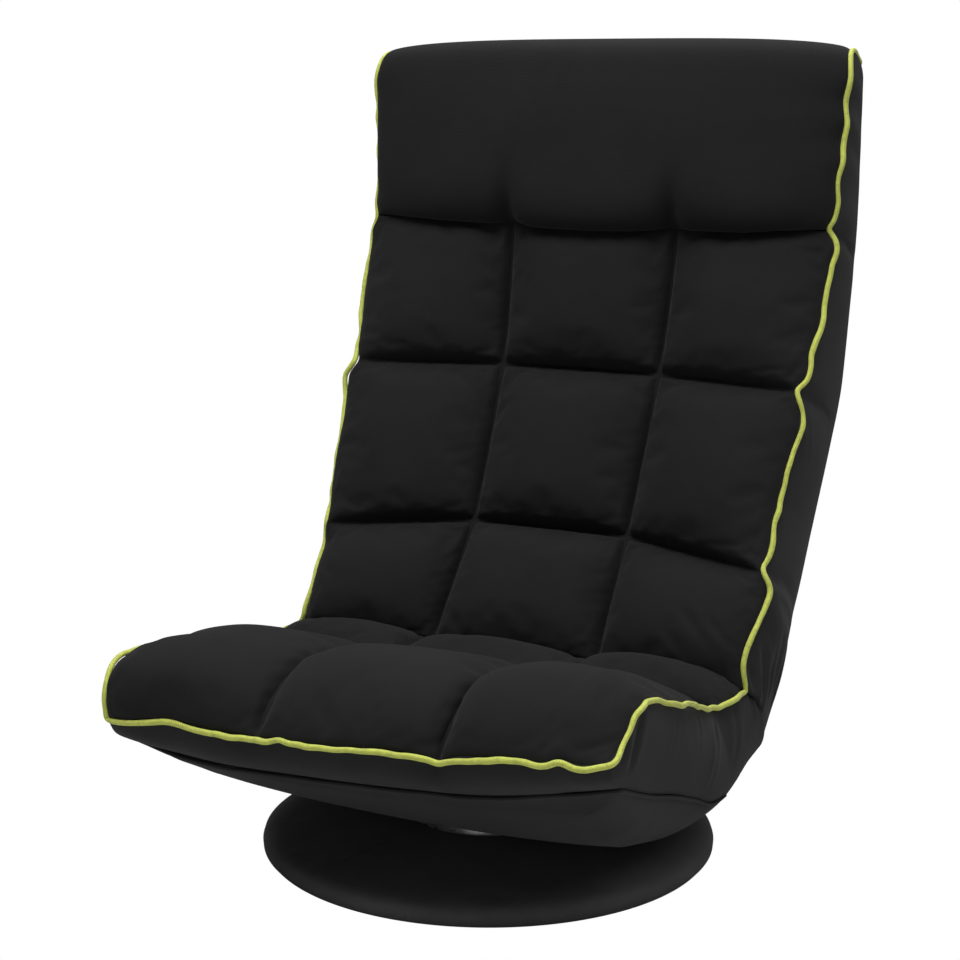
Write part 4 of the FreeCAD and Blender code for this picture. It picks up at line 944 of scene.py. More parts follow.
def side_patches(right, rows):
    """The side cloth of one side: seat part and back part, as grids with the piping edge first."""
    sign = 1 if right else -1
    seat_cols, back_cols = 90, 130
    seat_top = np.concatenate([
        seat_side_line(False, right, 40),
        seat_side_line(True, right, 80)[1:],
    ])
    seat_top = evenly(seat_top, seat_cols)
    low = through(list(reversed(BAND_LOW)), 120)
    low_x = np.interp(low[:, 0], [-12, 60, 320, 356], [243, 244, 241, 243])
    seat_low = seat_xyz(sign * low_x, low[:, 0], low[:, 1])
    # The round rear below the hinge belongs to the seat part.
    start = below_hinge(right)
    seat_low = evenly(np.concatenate([[start], seat_low]), seat_cols)
    seat_low[-1] = corner_line(right, 5)[-1]
    knuckle = knuckle_line(right, rows)
    seat_grid = patch(seat_top, seat_low, knuckle, corner_line(right, rows))
    # The back part's first edge runs up the piping and on along the head roll.
    back_parts = [back_side_line(part, right, 60) for part in BACK_SIDES]
    back_top = np.concatenate([back_parts[0], back_parts[1][1:], back_parts[2][1:]])
    head = through(HEAD_SIDE[:6], 60)
    head_x = edge_x(head[:, 1], right)
    head_line = back_xyz(sign * head_x, head[:, 0], head[:, 1])
    back_top = np.concatenate([back_top, head_line[1:]])
    back_top[0] = seat_top[0]
    back_top = evenly(back_top, back_cols)
    rear = through(REAR_LINE, back_cols)
    rear_edge = back_xyz(sign * rear_x(rear[:, 1]), rear[:, 0], rear[:, 1])
    rear_edge[0] = start
    over = back_xyz(sign * edge_x(634, right), -98, 634)
    top_edge = through([head_line[-1], over, rear_edge[-1]], rows)
    back_grid = patch(back_top, rear_edge, knuckle, top_edge)
    return seat_grid, back_grid


def swell_sideways(grid, amounts, sign):
    """Rounds a side panel out between its edges, by amounts along its length."""
    rows, cols = grid.shape[:2]
    b = np.linspace(0, 1, rows)[:, None]
    rise = np.clip(4 * b * (1 - b), 0, 1) ** 0.6
    along = np.interp(np.linspace(0, 1, cols), np.linspace(0, 1, len(amounts)), amounts)
    out = grid.copy()
    out[..., 0] += sign * rise * along[None, :]
    return out


# Folds of the side cloth, as places with their depth and width: (x, u, n) on the seat, (x, q, p) on the back.
SIDE_SEAT_FOLDS = [
    ([(246, 118, -3), (248, 121, -40), (246, 124, -78)], 3.0, 4.0),
    ([(247, 300, 8), (248, 312, -22), (246, 322, -56)], 3.0, 4.5),
    ([(247, 322, 2), (247, 326, -24), (246, 330, -50)], -1.6, 5.0),
    ([(248, 232, 4), (249, 234, -24), (248, 240, -44)], 0.9, 3.5),
    ([(248, 176, 2), (249, 170, -20), (248, 172, -44)], 0.8, 4.0),
    ([(247, 80, 2), (249, 70, -28), (247, 66, -60)], 1.4, 5.0),
]
SIDE_BACK_FOLDS = [
    ([(250, -57, 113), (250, -20, 104), (249, 44, 78)], 3.5, 4.0),
    ([(250, -50, 297), (252, 10, 299), (250, 74, 304)], 3.5, 3.5),
    ([(254, -58, 461), (255, -10, 465), (254, 34, 470)], 3.5, 3.5),
    ([(248, -46, 98), (249, -22, 66), (249, -12, 20), (247, 2, -20)], 12.0, 5.6),
    ([(248, -50, 60), (249, -34, 34), (249, -24, 0), (247, -12, -26)], 11.0, 5.0),
    ([(248, -40, 84), (249, 6, 62), (249, 24, 20), (247, 22, -14)], 10.0, 5.6),
    ([(248, -52, 26), (249, -40, 8), (249, -34, -12)], 8.0, 4.6),
    ([(250, -44, 286), (251, -22, 262), (250, -8, 232)], 1.4, 5.0),
]


def placed_folds(folds, to_xyz, sign=1):
    """Folds with their places turned into 3-D, on the side that sign says."""
    return [([to_xyz(sign * x, *place) for x, *place in line], deep, width) for line, deep, width in folds]


def make_side_cloth():
    """The cloth round the seat's edge and up both sides of the back, in one piece."""
    grids = []
    for right in (True, False):
        sign = 1 if right else -1
        seat_grid, back_grid = side_patches(right, BAND_ROWS)
        seat_grid = swell_sideways(seat_grid, (6, 5, 4, 4, 4, 4, 4, 3, 0), sign)
        back_grid = swell_sideways(back_grid, (6, 7, 7, 5, 4, 4, 4, 4, 4), sign)
        outwards = np.array([sign, 0.0, 0.0])
        seat_folds = placed_folds(SIDE_SEAT_FOLDS, seat_xyz, sign)
        back_folds = placed_folds(SIDE_BACK_FOLDS, back_xyz, sign)
        for line, deep, width in seat_folds + back_folds:
            seat_grid = fold(seat_grid, outwards, line, deep, width)
            back_grid = fold(back_grid, outwards, line, deep, width)
        grids += [seat_grid, back_grid]
    # The front strip between the two corners.
    n = 90
    lip = evenly(front_lip(), n)
    low = through([seat_xyz(x, 322, low_n) for x, low_n in FRONT_LOW], n)
    strip = patch(lip, low, corner_line(False, BAND_ROWS), corner_line(True, BAND_ROWS))
    b = np.linspace(0, 1, BAND_ROWS)[:, None, None]
    inside = 1 - np.abs(np.linspace(-1, 1, n))[None, :, None] ** 12
    strip = strip + (seat_xyz(0, 3.5, -1.5) - seat_xyz(0, 0, 0)) * (4 * b * (1 - b)) * inside
    grids.append(strip)
    points, faces, uvs = [], [], []
    start = 0
    for grid in grids:
        faces += grid_faces(grid.shape[0], grid.shape[1], start)
        points.append(grid.reshape(-1, 3))
        uvs.append(surface_uv(grid).reshape(-1, 2))
        start += grid.shape[0] * grid.shape[1]
    obj = add_mesh("side_cloth", np.concatenate(points), faces, np.concatenate(uvs))
    # Points of two grids that lie closer than this along a shared seam are joined.
    seam_gap = 0.6
    tidy_mesh(obj, seam_gap)
    thicken(obj, 1.6, -1.0)
    dress(obj, "side_cloth")
    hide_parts("seat_side_band", "back_side_bands")
    bend_with_hinge(obj)
    return obj


def make_rear_cloth():
    """The plain cloth behind the back, which goes on round below the hinge."""
    rows, cols = 110, 73
    line = through([(-44, -42), (-14, -52), (13, -49)] + REAR_LINE, rows)
    share = np.linspace(-1, 1, cols)
    half = np.where(line[:, 1] < 0, EDGE, rear_x(line[:, 1]))
    bulge = 7.0
    crown = bulge * (1 - share**2)[None, :] * np.clip((line[:, 1] - 20) / 120, 0, 1)[:, None]
    crown = crown * np.clip((640 - line[:, 1]) / 90, 0.0, 1)[:, None]
    along = np.gradient(line, axis=0)
    out = np.stack([along[:, 1], -along[:, 0]], -1)
    out /= np.linalg.norm(out, axis=1, keepdims=True)
    q = line[:, 0][:, None] + out[:, 0][:, None] * crown
    p = line[:, 1][:, None] + out[:, 1][:, None] * crown
    grid = back_xyz(half[:, None] * share[None, :], q, p)
    normals = grid_normals(grid)
    rng = np.random.default_rng(SEED + 3)
    for _ in range(9):
        x = rng.uniform(-190, 190)
        p_low = rng.uniform(20, 120)
        crease = [
            back_xyz(x, 52, p_low),
            back_xyz(x + rng.uniform(-20, 20), 58, p_low + 60),
            back_xyz(x + rng.uniform(-30, 30), 62, p_low + 110),
        ]
        grid = fold(grid, normals, crease, rng.uniform(0.6, 1.4), 7.0)
    uv = surface_uv(grid).reshape(-1, 2)
    obj = tidy_mesh(add_mesh("rear_cloth", grid.reshape(-1, 3), grid_faces(rows, cols), uv))
    thicken(obj, 1.6, 0.0)
    dress(obj, "plain_cloth")
    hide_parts("back_rear_cover", "back_rear_foam")
    bend_with_hinge(obj)
    return obj


def piping_path():
    """The contrast piping: round the seat's front, up both sides and over the top, as one loop."""
    off = settings().piping_radius / MM + 0.2
    runs = []
    for right in (True, False):
        sign = 1 if right else -1
        seat_part = np.concatenate([
            seat_side_line(True, right, 60)[:0:-1],
            seat_side_line(False, right, 24)[:0:-1],
        ])
        back_part = np.concatenate([back_side_line(part, right, 40)[:-1] for part in BACK_SIDES])
        head = through(HEAD_SIDE[:-1], 60)
        head_part = back_xyz(sign * edge_x(head[:, 1], right), head[:, 0], head[:, 1])
        corner = back_xyz(sign * (edge_x(632, right) - 2), -70, 637)
        turn = back_xyz(sign * (edge_x(632, right) - 14), -57, 634.5)
        run = np.concatenate([seat_part, back_part[3:], head_part, [corner, turn]])
        run[:, 0] += sign * off * (0.6 if right else 0.45)
        run[:, 1] += np.interp(run[:, 1], [20, 60], [0.0, 1.5 if right else 2.5])
        # The two parts meet on the outside of the crease.
        away = np.linalg.norm(run - seat_side_line(False, right, 2)[0], axis=1)
        run += np.exp(-((away / 14.0) ** 2))[:, None] * np.array([sign * 2.5, -5.0, 2.0])
        runs.append(run)
    over_top = [back_xyz(x, *TOP_SEAM) for x in (120, 0, -120)]
    middle = through([runs[0][-1], *over_top, runs[1][-1]], 80)[1:-1]
    lip = front_lip() + (seat_xyz(0, off * 0.9, -off * 0.5) - seat_xyz(0, 0, 0))
    loop = np.concatenate([lip[3:-3], runs[0], middle, runs[1][::-1]])
    count = 1500
    dense = evenly(np.concatenate([loop, loop[:1]]), count + 1)[:-1]
    # Sharp turns are rounded over a few points, round the closed loop.
    reach = 9
    kernel = np.exp(-0.5 * (np.arange(-reach, reach + 1) / 1.9) ** 2)
    kernel /= kernel.sum()
    looped = np.concatenate([dense[-reach:], dense, dense[:reach]])
    return np.stack([np.convolve(looped[:, k], kernel, mode="valid") for k in range(3)], -1)


def make_piping():
    path = piping_path()
    count = len(path)
    wobble = np.stack([
        noise_1d(count, SEED + k, 8) + 0.5 * noise_1d(count, SEED + 7 + k, 3)
        for k in range(3)
    ], -1)
    # The cloth is stretched over the top, so the piping runs straighter there.
    wobble *= np.interp(path[:, 2], [715, 735], [1.3, 0.4])[:, None]
    fade = np.clip(np.minimum(np.arange(count), count - 1 - np.arange(count)) / 40, 0, 1)[:, None]
    radius = settings().piping_radius / MM * (1 + 0.05 * noise_1d(count, SEED + 5, 5))
    obj = tube("contrast_piping", path + wobble * fade, radius, sides=12, closed=True)
    dress(obj, "piping_cloth")
    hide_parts("seat_piping", "back_piping")
    bend_with_hinge(obj)
    return obj


def welt_path():
    """The folded strip on the seam between the side cloth and the underside."""
    line = through(BAND_LOW[:-3], 70)
    sides = [
        seat_xyz(sign * np.interp(line[:, 0], [0, 60, 320], [243, 245, 242]), line[:, 0], line[:, 1] - 1.5)
        for sign in (1, -1)
    ]
    inner = [seat_xyz(x, 325, low_n - 2) for x, low_n in reversed(FRONT_LOW[1:-1])]
    front = through([sides[0][0], *inner, sides[1][0]], 90)
    return np.concatenate([sides[0][::-1], front[1:-1], sides[1]])


def make_welt():
    count = 360
    path = evenly(welt_path(), count)
    wobble = np.stack([noise_1d(count, SEED + 20 + k, 5) for k in range(3)], -1) * 0.3
    ends = np.minimum(np.arange(count), count - 1 - np.arange(count))
    obj = tube("underside_welt", path + wobble, 1.9 - 0.9 * np.exp(-ends / 12.0), sides=10)
    dress(obj, "welt_cloth")
    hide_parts("seat_welt")
    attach(obj, "seat")
    return obj


# The underside's lowest line, as places along u and their n.
TRAY_FLOOR = ([-8, 60, 133, 209, 250, 300, 320], [-97, -118, -134, -131, -121, -98, -82])


def tray_floor(u, x):
    """The height of the underside, which rises a little to the sides."""
    return np.interp(u, *TRAY_FLOOR) + 8.0 * np.clip(np.abs(x) / 200, 0, 1) ** 2


def make_tray():
    """The stretched cloth below the seat, open round the turntable."""
    around = 180
    low_line = through(BAND_LOW[:-1], 60)
    wide = np.interp(low_line[:, 0], [-12, 50, 320], [240.0, 241.5, 239.5])
    # The loop holds places as (x, u, n).
    right_top = np.stack([wide, low_line[:, 0], low_line[:, 1]], -1)
    front_top = [(x, 324, low_n) for x, low_n in reversed(FRONT_LOW[1:-1])]
    front_top = through([right_top[0], *front_top, mirror_x(right_top[0])], 60)
    rear_top = through([mirror_x(right_top[-1]), (0, 0, -50), right_top[-1]], 40)
    loop = np.concatenate([right_top[::-1], front_top[1:-1], mirror_x(right_top), rear_top[1:-1]])
    x, u, n = evenly(np.concatenate([loop, loop[:1]]), around + 1)[:-1].T
    floor_n = tray_floor(u, x)
    low_x = np.clip(x, -214, 214) * 0.94
    low_u = np.clip(u, -4, 296)
    low_n = tray_floor(low_u, low_x)
    c, s = math.cos(settings().seat_pitch), math.sin(settings().seat_pitch)
    rings = []
    for t in np.linspace(0, 1, 16):
        # A soft shoulder: down the side first, then in.
        a, b = (1 - t) ** 2, t**2
        m = 2 * t * (1 - t)
        mid_x, mid_u, mid_n = x * 0.985, np.clip(u, -8, 314), floor_n * 0.72 + n * 0.28
        ring = [
            a * rim + m * mid + b * low
            for rim, mid, low in ((x, mid_x, low_x), (u, mid_u, low_u), (n, mid_n, low_n))
        ]
        rings.append(seat_xyz(*ring))
    # The opening is a circle round the swivel axis, cut off at the rear by the cloth's own edge.
    hub_n = -118.0
    hub_u = (HINGE_Y + hub_n * s) / c
    angle = np.arctan2(low_u - hub_u, low_x)
    ring_r = 84.0
    for t in np.linspace(0.12, 1, 12):
        e = 1 - (1 - t) ** 1.3
        ox, ou = ring_r * np.cos(angle), np.maximum(hub_u + ring_r * np.sin(angle) / c, 1.0)
        px, pu = low_x * (1 - e) + ox * e, low_u * (1 - e) + ou * e
        pn = tray_floor(pu, px) - 1.5 * np.sin(math.pi * e)
        rings.append(seat_xyz(px, pu, pn))
    grid = np.stack(rings)
    rows, cols = grid.shape[:2]
    rng = np.random.default_rng(SEED + 8)
    normals = -grid_normals(grid)
    for _ in range(10):
        c0 = int(rng.integers(0, cols))
        line = [grid[3, c0], grid[8, (c0 + 2) % cols], grid[14, (c0 + 5) % cols]]
        grid = fold(grid, normals, line, rng.uniform(0.5, 1.2), 6.0)
    uv = surface_uv(grid).reshape(-1, 2)
    faces = grid_faces(rows, cols, around=True)
    obj = tidy_mesh(add_mesh("seat_underside_cloth", grid.reshape(-1, 3), faces, uv))
    thicken(obj, 1.5, 1.0)
    dress(obj, "plain_cloth")
    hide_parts("seat_underside_cover")
    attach(obj, "seat")
    return obj


# The base's section as (radius, height), from the dome over the rim to the floor.
BASE_PROFILE = [
    (60, 33.0), (84, 32.8), (105, 31.8), (132, 29.4), (160, 26.6), (180, 24.0), (196, 21.6), (208, 19.6),
    (215, 17.2), (218.6, 13.4), (219.4, 9.0), (219, 4.8), (217, 1.6), (212, 0.1), (202, 0.0), (150, 0.1),
    (60, 0.1), (4, 0.1),
]


def make_base():
    """The round floor base: cloth drawn over a low dome, gathered at the rim."""
    around = 360
    edge = settings().base_radius / MM
    angle = np.linspace(0, 2 * math.pi, around, endpoint=False)
    line = through(BASE_PROFILE, 76)
    line[:, 0] *= edge / line[:, 0].max()
    rng = np.random.default_rng(SEED + 30)
    # Pleats that run in from the rim, bigger in a few places.
    wave = np.zeros(around)
    for k in range(70):
        centre, wide, tall = rng.uniform(0, 2 * math.pi), rng.uniform(0.008, 0.03), rng.uniform(-1.0, 1.0)
        gap = (angle - centre + math.pi) % (2 * math.pi) - math.pi
        wave += tall * np.exp(-0.5 * (gap / wide) ** 2)
    slow = sum(np.sin(k * angle + rng.uniform(0, 6.28)) / k for k in (2, 3, 5)) * 0.6
    r, z = line[:, 0][:, None], line[:, 1][:, None]
    reach = np.exp(-(((r - 196) / 11.0) ** 2)) * (z > 6)
    band = np.exp(-(((r - 190) / 26.0) ** 2)) * (z > 6)
    height = z + reach * wave[None, :] * 1.5 + band * slow[None, :] * 0.8
    # The radial seam, a narrow ridge beside a groove.
    seam_at = math.radians(settings().base_seam_angle)
    gap = (angle - seam_at + math.pi) % (2 * math.pi) - math.pi
    side = gap[None, :] * r
    on_top = (z > 14) * np.clip((r - 84) / 10, 0, 1)
    ridge = 1.1 * np.exp(-(((side - 2.0) / 2.0) ** 2))
    groove = 1.6 * np.exp(-((side / 1.6) ** 2))
    height = height + on_top * (ridge - groove)
    height = np.where(z < 1, z, height)
    grid = np.stack([r * np.cos(angle), r * np.sin(angle), np.broadcast_to(height, (len(line), around))], -1)
    points = grid.reshape(-1, 3)
    faces = grid_faces(len(line), around, around=True)
    start = len(points)
    points = np.concatenate([points, [[0, 0, BASE_PROFILE[0][1]], [0, 0, BASE_PROFILE[-1][1]]]])
    last = (len(line) - 1) * around
    for c in range(around):
        d = (c + 1) % around
        faces.append((start, d, c))
        faces.append((start + 1, last + c, last + d))
    obj = tidy_mesh(add_mesh("base_cloth", points, faces, points[:, :2]))
    dress(obj, "base_cloth")
    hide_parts("base_cover", "base_foam", "base_bottom_cloth")
    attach(obj, "base")
    return obj


def stitch_tree():
    """Stitches along a line: a short thread at each pitch, laid along the seam."""
    tree = bpy.data.node_groups.new("Stitches", "GeometryNodeTree")
    face = tree.interface
    face.new_socket("Geometry", in_out="INPUT", socket_type="NodeSocketGeometry")
    for label, value in (("Pitch", 0.006), ("Length", 0.0042), ("Thread", 0.0004)):
        made = face.new_socket(label, in_out="INPUT", socket_type="NodeSocketFloat")
        made.default_value = value
    face.new_socket("Material", in_out="INPUT", socket_type="NodeSocketMaterial")
    face.new_socket("Geometry", in_out="OUTPUT", socket_type="NodeSocketGeometry")
    start = tree.nodes.new("NodeGroupInput")
    curve = tree.nodes.new("GeometryNodeMeshToCurve")
    spaced = tree.nodes.new("GeometryNodeResampleCurve")
    spaced.mode = "LENGTH"
    thread = tree.nodes.new("GeometryNodeMeshCylinder")
    thread.inputs["Vertices"].default_value = 6
    spread = tree.nodes.new("GeometryNodeInstanceOnPoints")
    tangent = tree.nodes.new("GeometryNodeInputTangent")
    turn = tree.nodes.new("FunctionNodeAlignRotationToVector")
    turn.axis = "Z"
    real = tree.nodes.new("GeometryNodeRealizeInstances")
    paint = tree.nodes.new("GeometryNodeSetMaterial")
    end = tree.nodes.new("NodeGroupOutput")
    for source, output, target, name in (
        (start, "Geometry", curve, "Mesh"),
        (curve, "Curve", spaced, "Curve"),
        (start, "Pitch", spaced, "Length"),
        (start, "Length", thread, "Depth"),
        (start, "Thread", thread, "Radius"),
        (spaced, "Curve", spread, "Points"),
        (thread, "Mesh", spread, "Instance"),
        (tangent, "Tangent", turn, "Vector"),
        (turn, "Rotation", spread, "Rotation"),
        (spread, "Instances", real, "Geometry"),
        (real, "Geometry", paint, "Geometry"),
        (start, "Material", paint, "Material"),
        (paint, "Geometry", end, "Geometry"),
    ):
        tree.links.new(source.outputs[output], target.inputs[name])
    return tree


def make_stitches(name, lines, body, slot, pitch=6.0):
    """A row of stitches along each line, as one plain mesh on one body."""
    points, edges = [], []
    for line in lines:
        start = sum(len(p) for p in points)
        points.append(np.asarray(line))
        edges += [(start + i, start + i + 1) for i in range(len(line) - 1)]
    mesh = bpy.data.meshes.new(name)
    mesh.from_pydata((np.concatenate(points) * MM).tolist(), edges, [])
    obj = bpy.data.objects.new(name, mesh)
    bpy.context.scene.collection.objects.link(obj)
    tree = bpy.data.node_groups.get("Stitches") or stitch_tree()
    rows = obj.modifiers.new("Stitches", "NODES")
    rows.node_group = tree
    named = {i.name: i.identifier for i in tree.interface.items_tree if i.in_out == "INPUT"}
    rows[named["Pitch"]] = pitch * MM
    rows[named["Material"]] = finish_of(slot)
    applied(obj)
    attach(obj, body)
    return obj


def make_seam_stitches():
    """Stitches beside the seam of the base's cover."""
    seam_at = math.radians(settings().base_seam_angle)
    r = np.linspace(96, 196, 40)
    z = np.interp(r, [84, 105, 132, 160, 180, 196], [32.6, 31.2, 28.6, 25.6, 22.6, 20.0]) + 0.4
    beside = 4.6
    turn = seam_at + beside / r
    line = np.stack([r * np.cos(turn), r * np.sin(turn), z], -1)
    make_stitches("base_seam_stitches", [line], "base", "base_cloth", 4.0)


# Panel settings, operators and the run.


def length(label, value, note):
    return bpy.props.FloatProperty(
        name=label, description=note, default=value * MM, unit="LENGTH", precision=4
    )


def colour(label, value, note):
    return bpy.props.FloatVectorProperty(
        name=label, description=note, default=value, subtype="COLOR", size=3, min=0.0, max=1.0
    )


def angle(label, value, note):
    return bpy.props.FloatProperty(name=label, description=note, default=math.radians(value), subtype="ANGLE")


def number(label, value, note, **limits):
    return bpy.props.FloatProperty(name=label, description=note, default=value, **limits)


class FloorChairSettings(bpy.types.PropertyGroup):
    seat_pitch: angle("Seat pitch", 12.3, "Rise of the seat to the front")
    back_lean: angle("Back lean", 27, "Lean of the back at rest")
    front_lean: length("Front lean", 17, "How much higher the seat's front right corner lies than its middle")
    front_sag: length("Front sag", 3, "How far the middle of the seat's front hangs down")
    seat_crown: length("Seat crown", 11, "Rise of a seat tuft over its seams")
    back_crown: length("Back crown", 26, "Rise of a back tuft over its seams")
    seam_depth: length("Seam depth", 7, "Depth of the narrow fold at a seam between tufts")
    swell: number("Swell", 4.0, "Pressure in the tufts", min=0.0, max=20.0)
    swell_limit: length("Swell limit", 6, "How far a point may move while a pad swells")
    weave: number("Weave", 1.5, "Thread pitch in millimetres", min=0.5)
    piping_radius: length("Piping radius", 2.7, "Radius of the contrast piping")
    base_radius: length("Base radius", 221.5, "Outer radius of the floor base")
    base_seam_angle: number("Base seam", -112.0, "Where the base's radial seam lies, in degrees from +x")
    quilt_colour: colour("Quilt", (0.0074, 0.0074, 0.0082), "Colour of the quilted cloth")
    side_colour: colour("Side cloth", (0.0182, 0.0182, 0.0196), "Colour of the side cloth")
    plain_colour: colour("Plain cloth", (0.0215, 0.0215, 0.0230), "Colour of the rear and underside")
    # The base cover's dark grey, lightened several times over: painted fill light that makes up for the shade the
    # seat casts on the base.
    base_colour_with_painted_fill: colour("Base cloth", (0.0780, 0.0780, 0.0815), "Colour of the base's cover")
    piping_colour: colour("Piping", (0.53, 0.582, 0.097), "Colour of the contrast piping")
    camera_azimuth: number("Camera azimuth", 27.0, "Turn round the chair, in degrees")
    lamp_power: number("Lamp power", 1.0, "Scale of the studio lamps", min=0.0)


class PieceOperator:
    bl_options = {"REGISTER", "UNDO"}


class FLOORCHAIR_OT_quilt(PieceOperator, bpy.types.Operator):
    """Make the quilted seat and back pads and the head roll"""

    bl_idname = "floorchair.quilt"
    bl_label = "Quilted pads"

    def execute(self, context):
        make_seat_pad()
        make_back_pad()
        make_head_roll()
        return {"FINISHED"}


class FLOORCHAIR_OT_covers(PieceOperator, bpy.types.Operator):
    """Make the side cloth, the rear cloth and the cloth under the seat"""

    bl_idname = "floorchair.covers"
    bl_label = "Covers"

    def execute(self, context):
        side = make_side_cloth()
        rear = make_rear_cloth()
        tray = make_tray()
        # Flat sizes in metres, the rectangles round the cut cloth.
        for obj, flat in ((side, (0.13, 2.51)), (rear, (0.52, 0.79)), (tray, (0.55, 0.39))):
            area = one_side_area(obj)
            cut = flat[0] * flat[1]
            if not 0.3 * cut <= area <= cut:
                raise ValueError(f"{obj.name}: area {area}, flat {cut}")
        return {"FINISHED"}


def one_side_area(obj):
    return sum(p.area for p in obj.data.polygons) / 2


class FLOORCHAIR_OT_trim(PieceOperator, bpy.types.Operator):
    """Make the contrast piping, the welt and the stitches"""

    bl_idname = "floorchair.trim"
    bl_label = "Piping and stitches"

    def execute(self, context):
        make_piping()
        make_welt()
        make_seam_stitches()
        return {"FINISHED"}


class FLOORCHAIR_OT_base(PieceOperator, bpy.types.Operator):
    """Make the cloth-covered floor base"""

    bl_idname = "floorchair.base"
    bl_label = "Floor base"

    def execute(self, context):
        make_base()
        return {"FINISHED"}


class FLOORCHAIR_OT_frame(PieceOperator, bpy.types.Operator):
    """Give the frame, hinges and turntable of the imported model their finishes"""

    bl_idname = "floorchair.frame"
    bl_label = "Frame finishes"

    def execute(self, context):
        slots = {s["node"]: s["material_slot"] for s in frame["record"]["subparts"]}
        for name, obj in frame["nodes"].items():
            dress(obj, slots[name])
        return {"FINISHED"}


class FLOORCHAIR_OT_stage(PieceOperator, bpy.types.Operator):
    """Make the floor, the studio light and the camera"""

    bl_idname = "floorchair.stage"
    bl_label = "Studio"

    def execute(self, context):
        make_stage(context.scene)
        return {"FINISHED"}


def pale_finish():
    """A pale floor for the lamps, which the camera sees as plain white."""
    material, tree, shader = new_finish("Pale floor")
    set_inputs(shader, Base_Color=(0.62, 0.62, 0.62, 1.0), Roughness=0.8)
    surface = tree.nodes["Material Output"].inputs["Surface"]
    tree.links.new(white_to_camera(tree, shader.outputs["BSDF"]), surface)
    return material


def white_to_camera(tree, seen_otherwise):
    """Plain white where the camera looks straight at it, and the given shader to all other rays."""
    path = node(tree, "ShaderNodeLightPath")
    white = node(tree, "ShaderNodeEmission", Color=(1.0, 1.0, 1.0, 1.0), Strength=1.0)
    mix = node(tree, "ShaderNodeMixShader")
    tree.links.new(path.outputs["Is Camera Ray"], mix.inputs["Fac"])
    tree.links.new(seen_otherwise, mix.inputs[1])
    tree.links.new(white.outputs["Emission"], mix.inputs[2])
    return mix.outputs["Shader"]


# The camera as fitted to the photograph: lens in millimetres, rise in degrees, and in metres the height of
# the point it looks at, that point's shift across and the distance from it.
CAMERA_LENS = 76.55
CAMERA_RISE = 11.2572
CAMERA_HEIGHT = 0.3621
CAMERA_SHIFT = -0.00815
CAMERA_AWAY = 1.9517


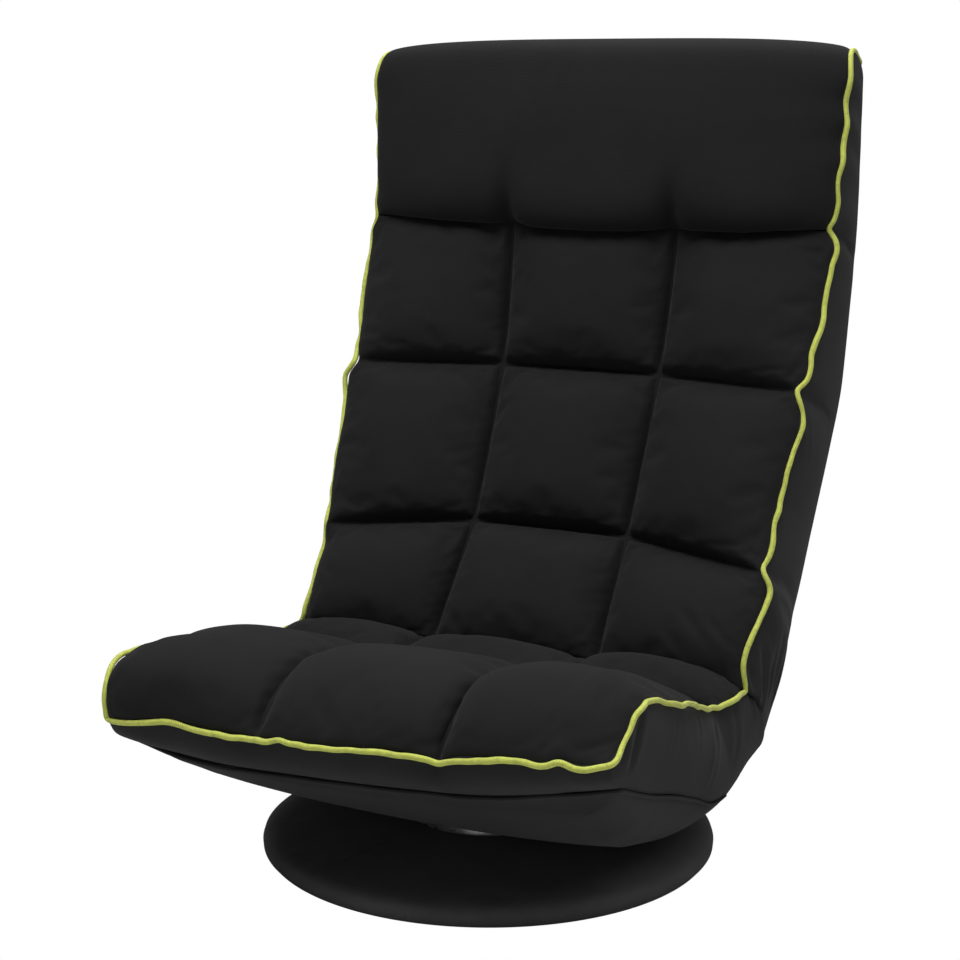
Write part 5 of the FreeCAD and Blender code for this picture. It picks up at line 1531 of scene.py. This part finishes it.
def make_stage(scene):
    """The floor, the world, the lamps and the camera."""
    # The floor reaches far round the chair and lies just below the base. Lengths here are metres.
    size, down = 30.0, -0.0005
    mesh = bpy.data.meshes.new("floor")
    corners = [(-size, -size, down), (size, -size, down), (size, size, down), (-size, size, down)]
    mesh.from_pydata(corners, [], [(0, 1, 2, 3)])
    mesh.materials.append(pale_finish())
    floor = bpy.data.objects.new("floor", mesh)
    scene.collection.objects.link(floor)
    world = bpy.data.worlds.new("Studio") if scene.world is None else scene.world
    scene.world = world
    world.use_nodes = True
    tree = world.node_tree
    sky = tree.nodes.get("Background") or tree.nodes.new("ShaderNodeBackground")
    set_inputs(sky, Color=(1.0, 1.0, 1.0, 1.0), Strength=0.08)
    end = next(n for n in tree.nodes if n.type == "OUTPUT_WORLD")
    tree.links.new(white_to_camera(tree, sky.outputs["Background"]), end.inputs["Surface"])
    look = settings()
    # Each lamp's name, place, width and height, and power in watts.
    lamps = (
        ("top", (0.1, -0.9, 3.1), (1.3, 1.3), 54.0),
        ("rear", (0.1, 0.9, 2.9), (1.8, 1.8), 40.0),
        ("left", (-1.6, -1.0, 2.5), (1.2, 1.2), 11.0),
        ("right", (2.0, -0.6, 2.3), (1.2, 1.2), 13.0),
        ("front", (0.4, -2.8, 1.0), (1.6, 1.2), 5.0),
    )
    lit = Vector((0.0, 0.0, 0.4))
    for name, place, (wide, tall), power in lamps:
        light = bpy.data.lights.new(name, "AREA")
        light.shape = "RECTANGLE"
        light.size, light.size_y = wide, tall
        light.energy = power * look.lamp_power
        lamp = bpy.data.objects.new(name, light)
        lamp.location = place
        lamp.rotation_euler = (lit - Vector(place)).to_track_quat("-Z", "Y").to_euler()
        scene.collection.objects.link(lamp)
    camera = bpy.data.cameras.new("camera")
    camera.sensor_width = 36.0
    camera.lens = CAMERA_LENS
    camera.clip_start, camera.clip_end = 0.05, 100.0
    view = bpy.data.objects.new("camera", camera)
    azimuth, rise = math.radians(look.camera_azimuth), math.radians(CAMERA_RISE)
    back = Vector((math.sin(azimuth) * math.cos(rise), -math.cos(azimuth) * math.cos(rise), math.sin(rise)))
    across = Vector((math.cos(azimuth), math.sin(azimuth), 0.0))
    aim = Vector((0.0, 0.0, CAMERA_HEIGHT)) + across * CAMERA_SHIFT
    view.location = aim + back * CAMERA_AWAY
    view.rotation_euler = back.to_track_quat("Z", "Y").to_euler()
    scene.collection.objects.link(view)
    scene.camera = view
    scene.view_settings.view_transform = "Standard"


class FLOORCHAIR_PT_panel(bpy.types.Panel):
    """Sizes, colours and pieces of the floor chair"""

    bl_idname = "FLOORCHAIR_PT_panel"
    bl_label = "Floor chair"
    bl_space_type = "VIEW_3D"
    bl_region_type = "UI"
    bl_category = "Floor chair"

    def draw(self, context):
        for name in FloorChairSettings.__annotations__:
            self.layout.prop(context.scene.floor_chair, name)
        for operator in OPERATORS:
            self.layout.operator(operator.bl_idname)


OPERATORS = (
    FLOORCHAIR_OT_frame,
    FLOORCHAIR_OT_quilt,
    FLOORCHAIR_OT_covers,
    FLOORCHAIR_OT_trim,
    FLOORCHAIR_OT_base,
    FLOORCHAIR_OT_stage,
)
CLASSES = (FloorChairSettings, *OPERATORS, FLOORCHAIR_PT_panel)


def register():
    for cls in CLASSES:
        bpy.utils.register_class(cls)
    bpy.types.Scene.floor_chair = bpy.props.PointerProperty(type=FloorChairSettings)


def unregister():
    del bpy.types.Scene.floor_chair
    for cls in reversed(CLASSES):
        bpy.utils.unregister_class(cls)


def main():
    register()
    bpy.ops.floorchair.frame()
    bpy.ops.floorchair.quilt()
    bpy.ops.floorchair.covers()
    bpy.ops.floorchair.trim()
    bpy.ops.floorchair.base()
    bpy.ops.floorchair.stage()
    bpy.context.view_layer.update()


if __name__ == "__main__":
    main()
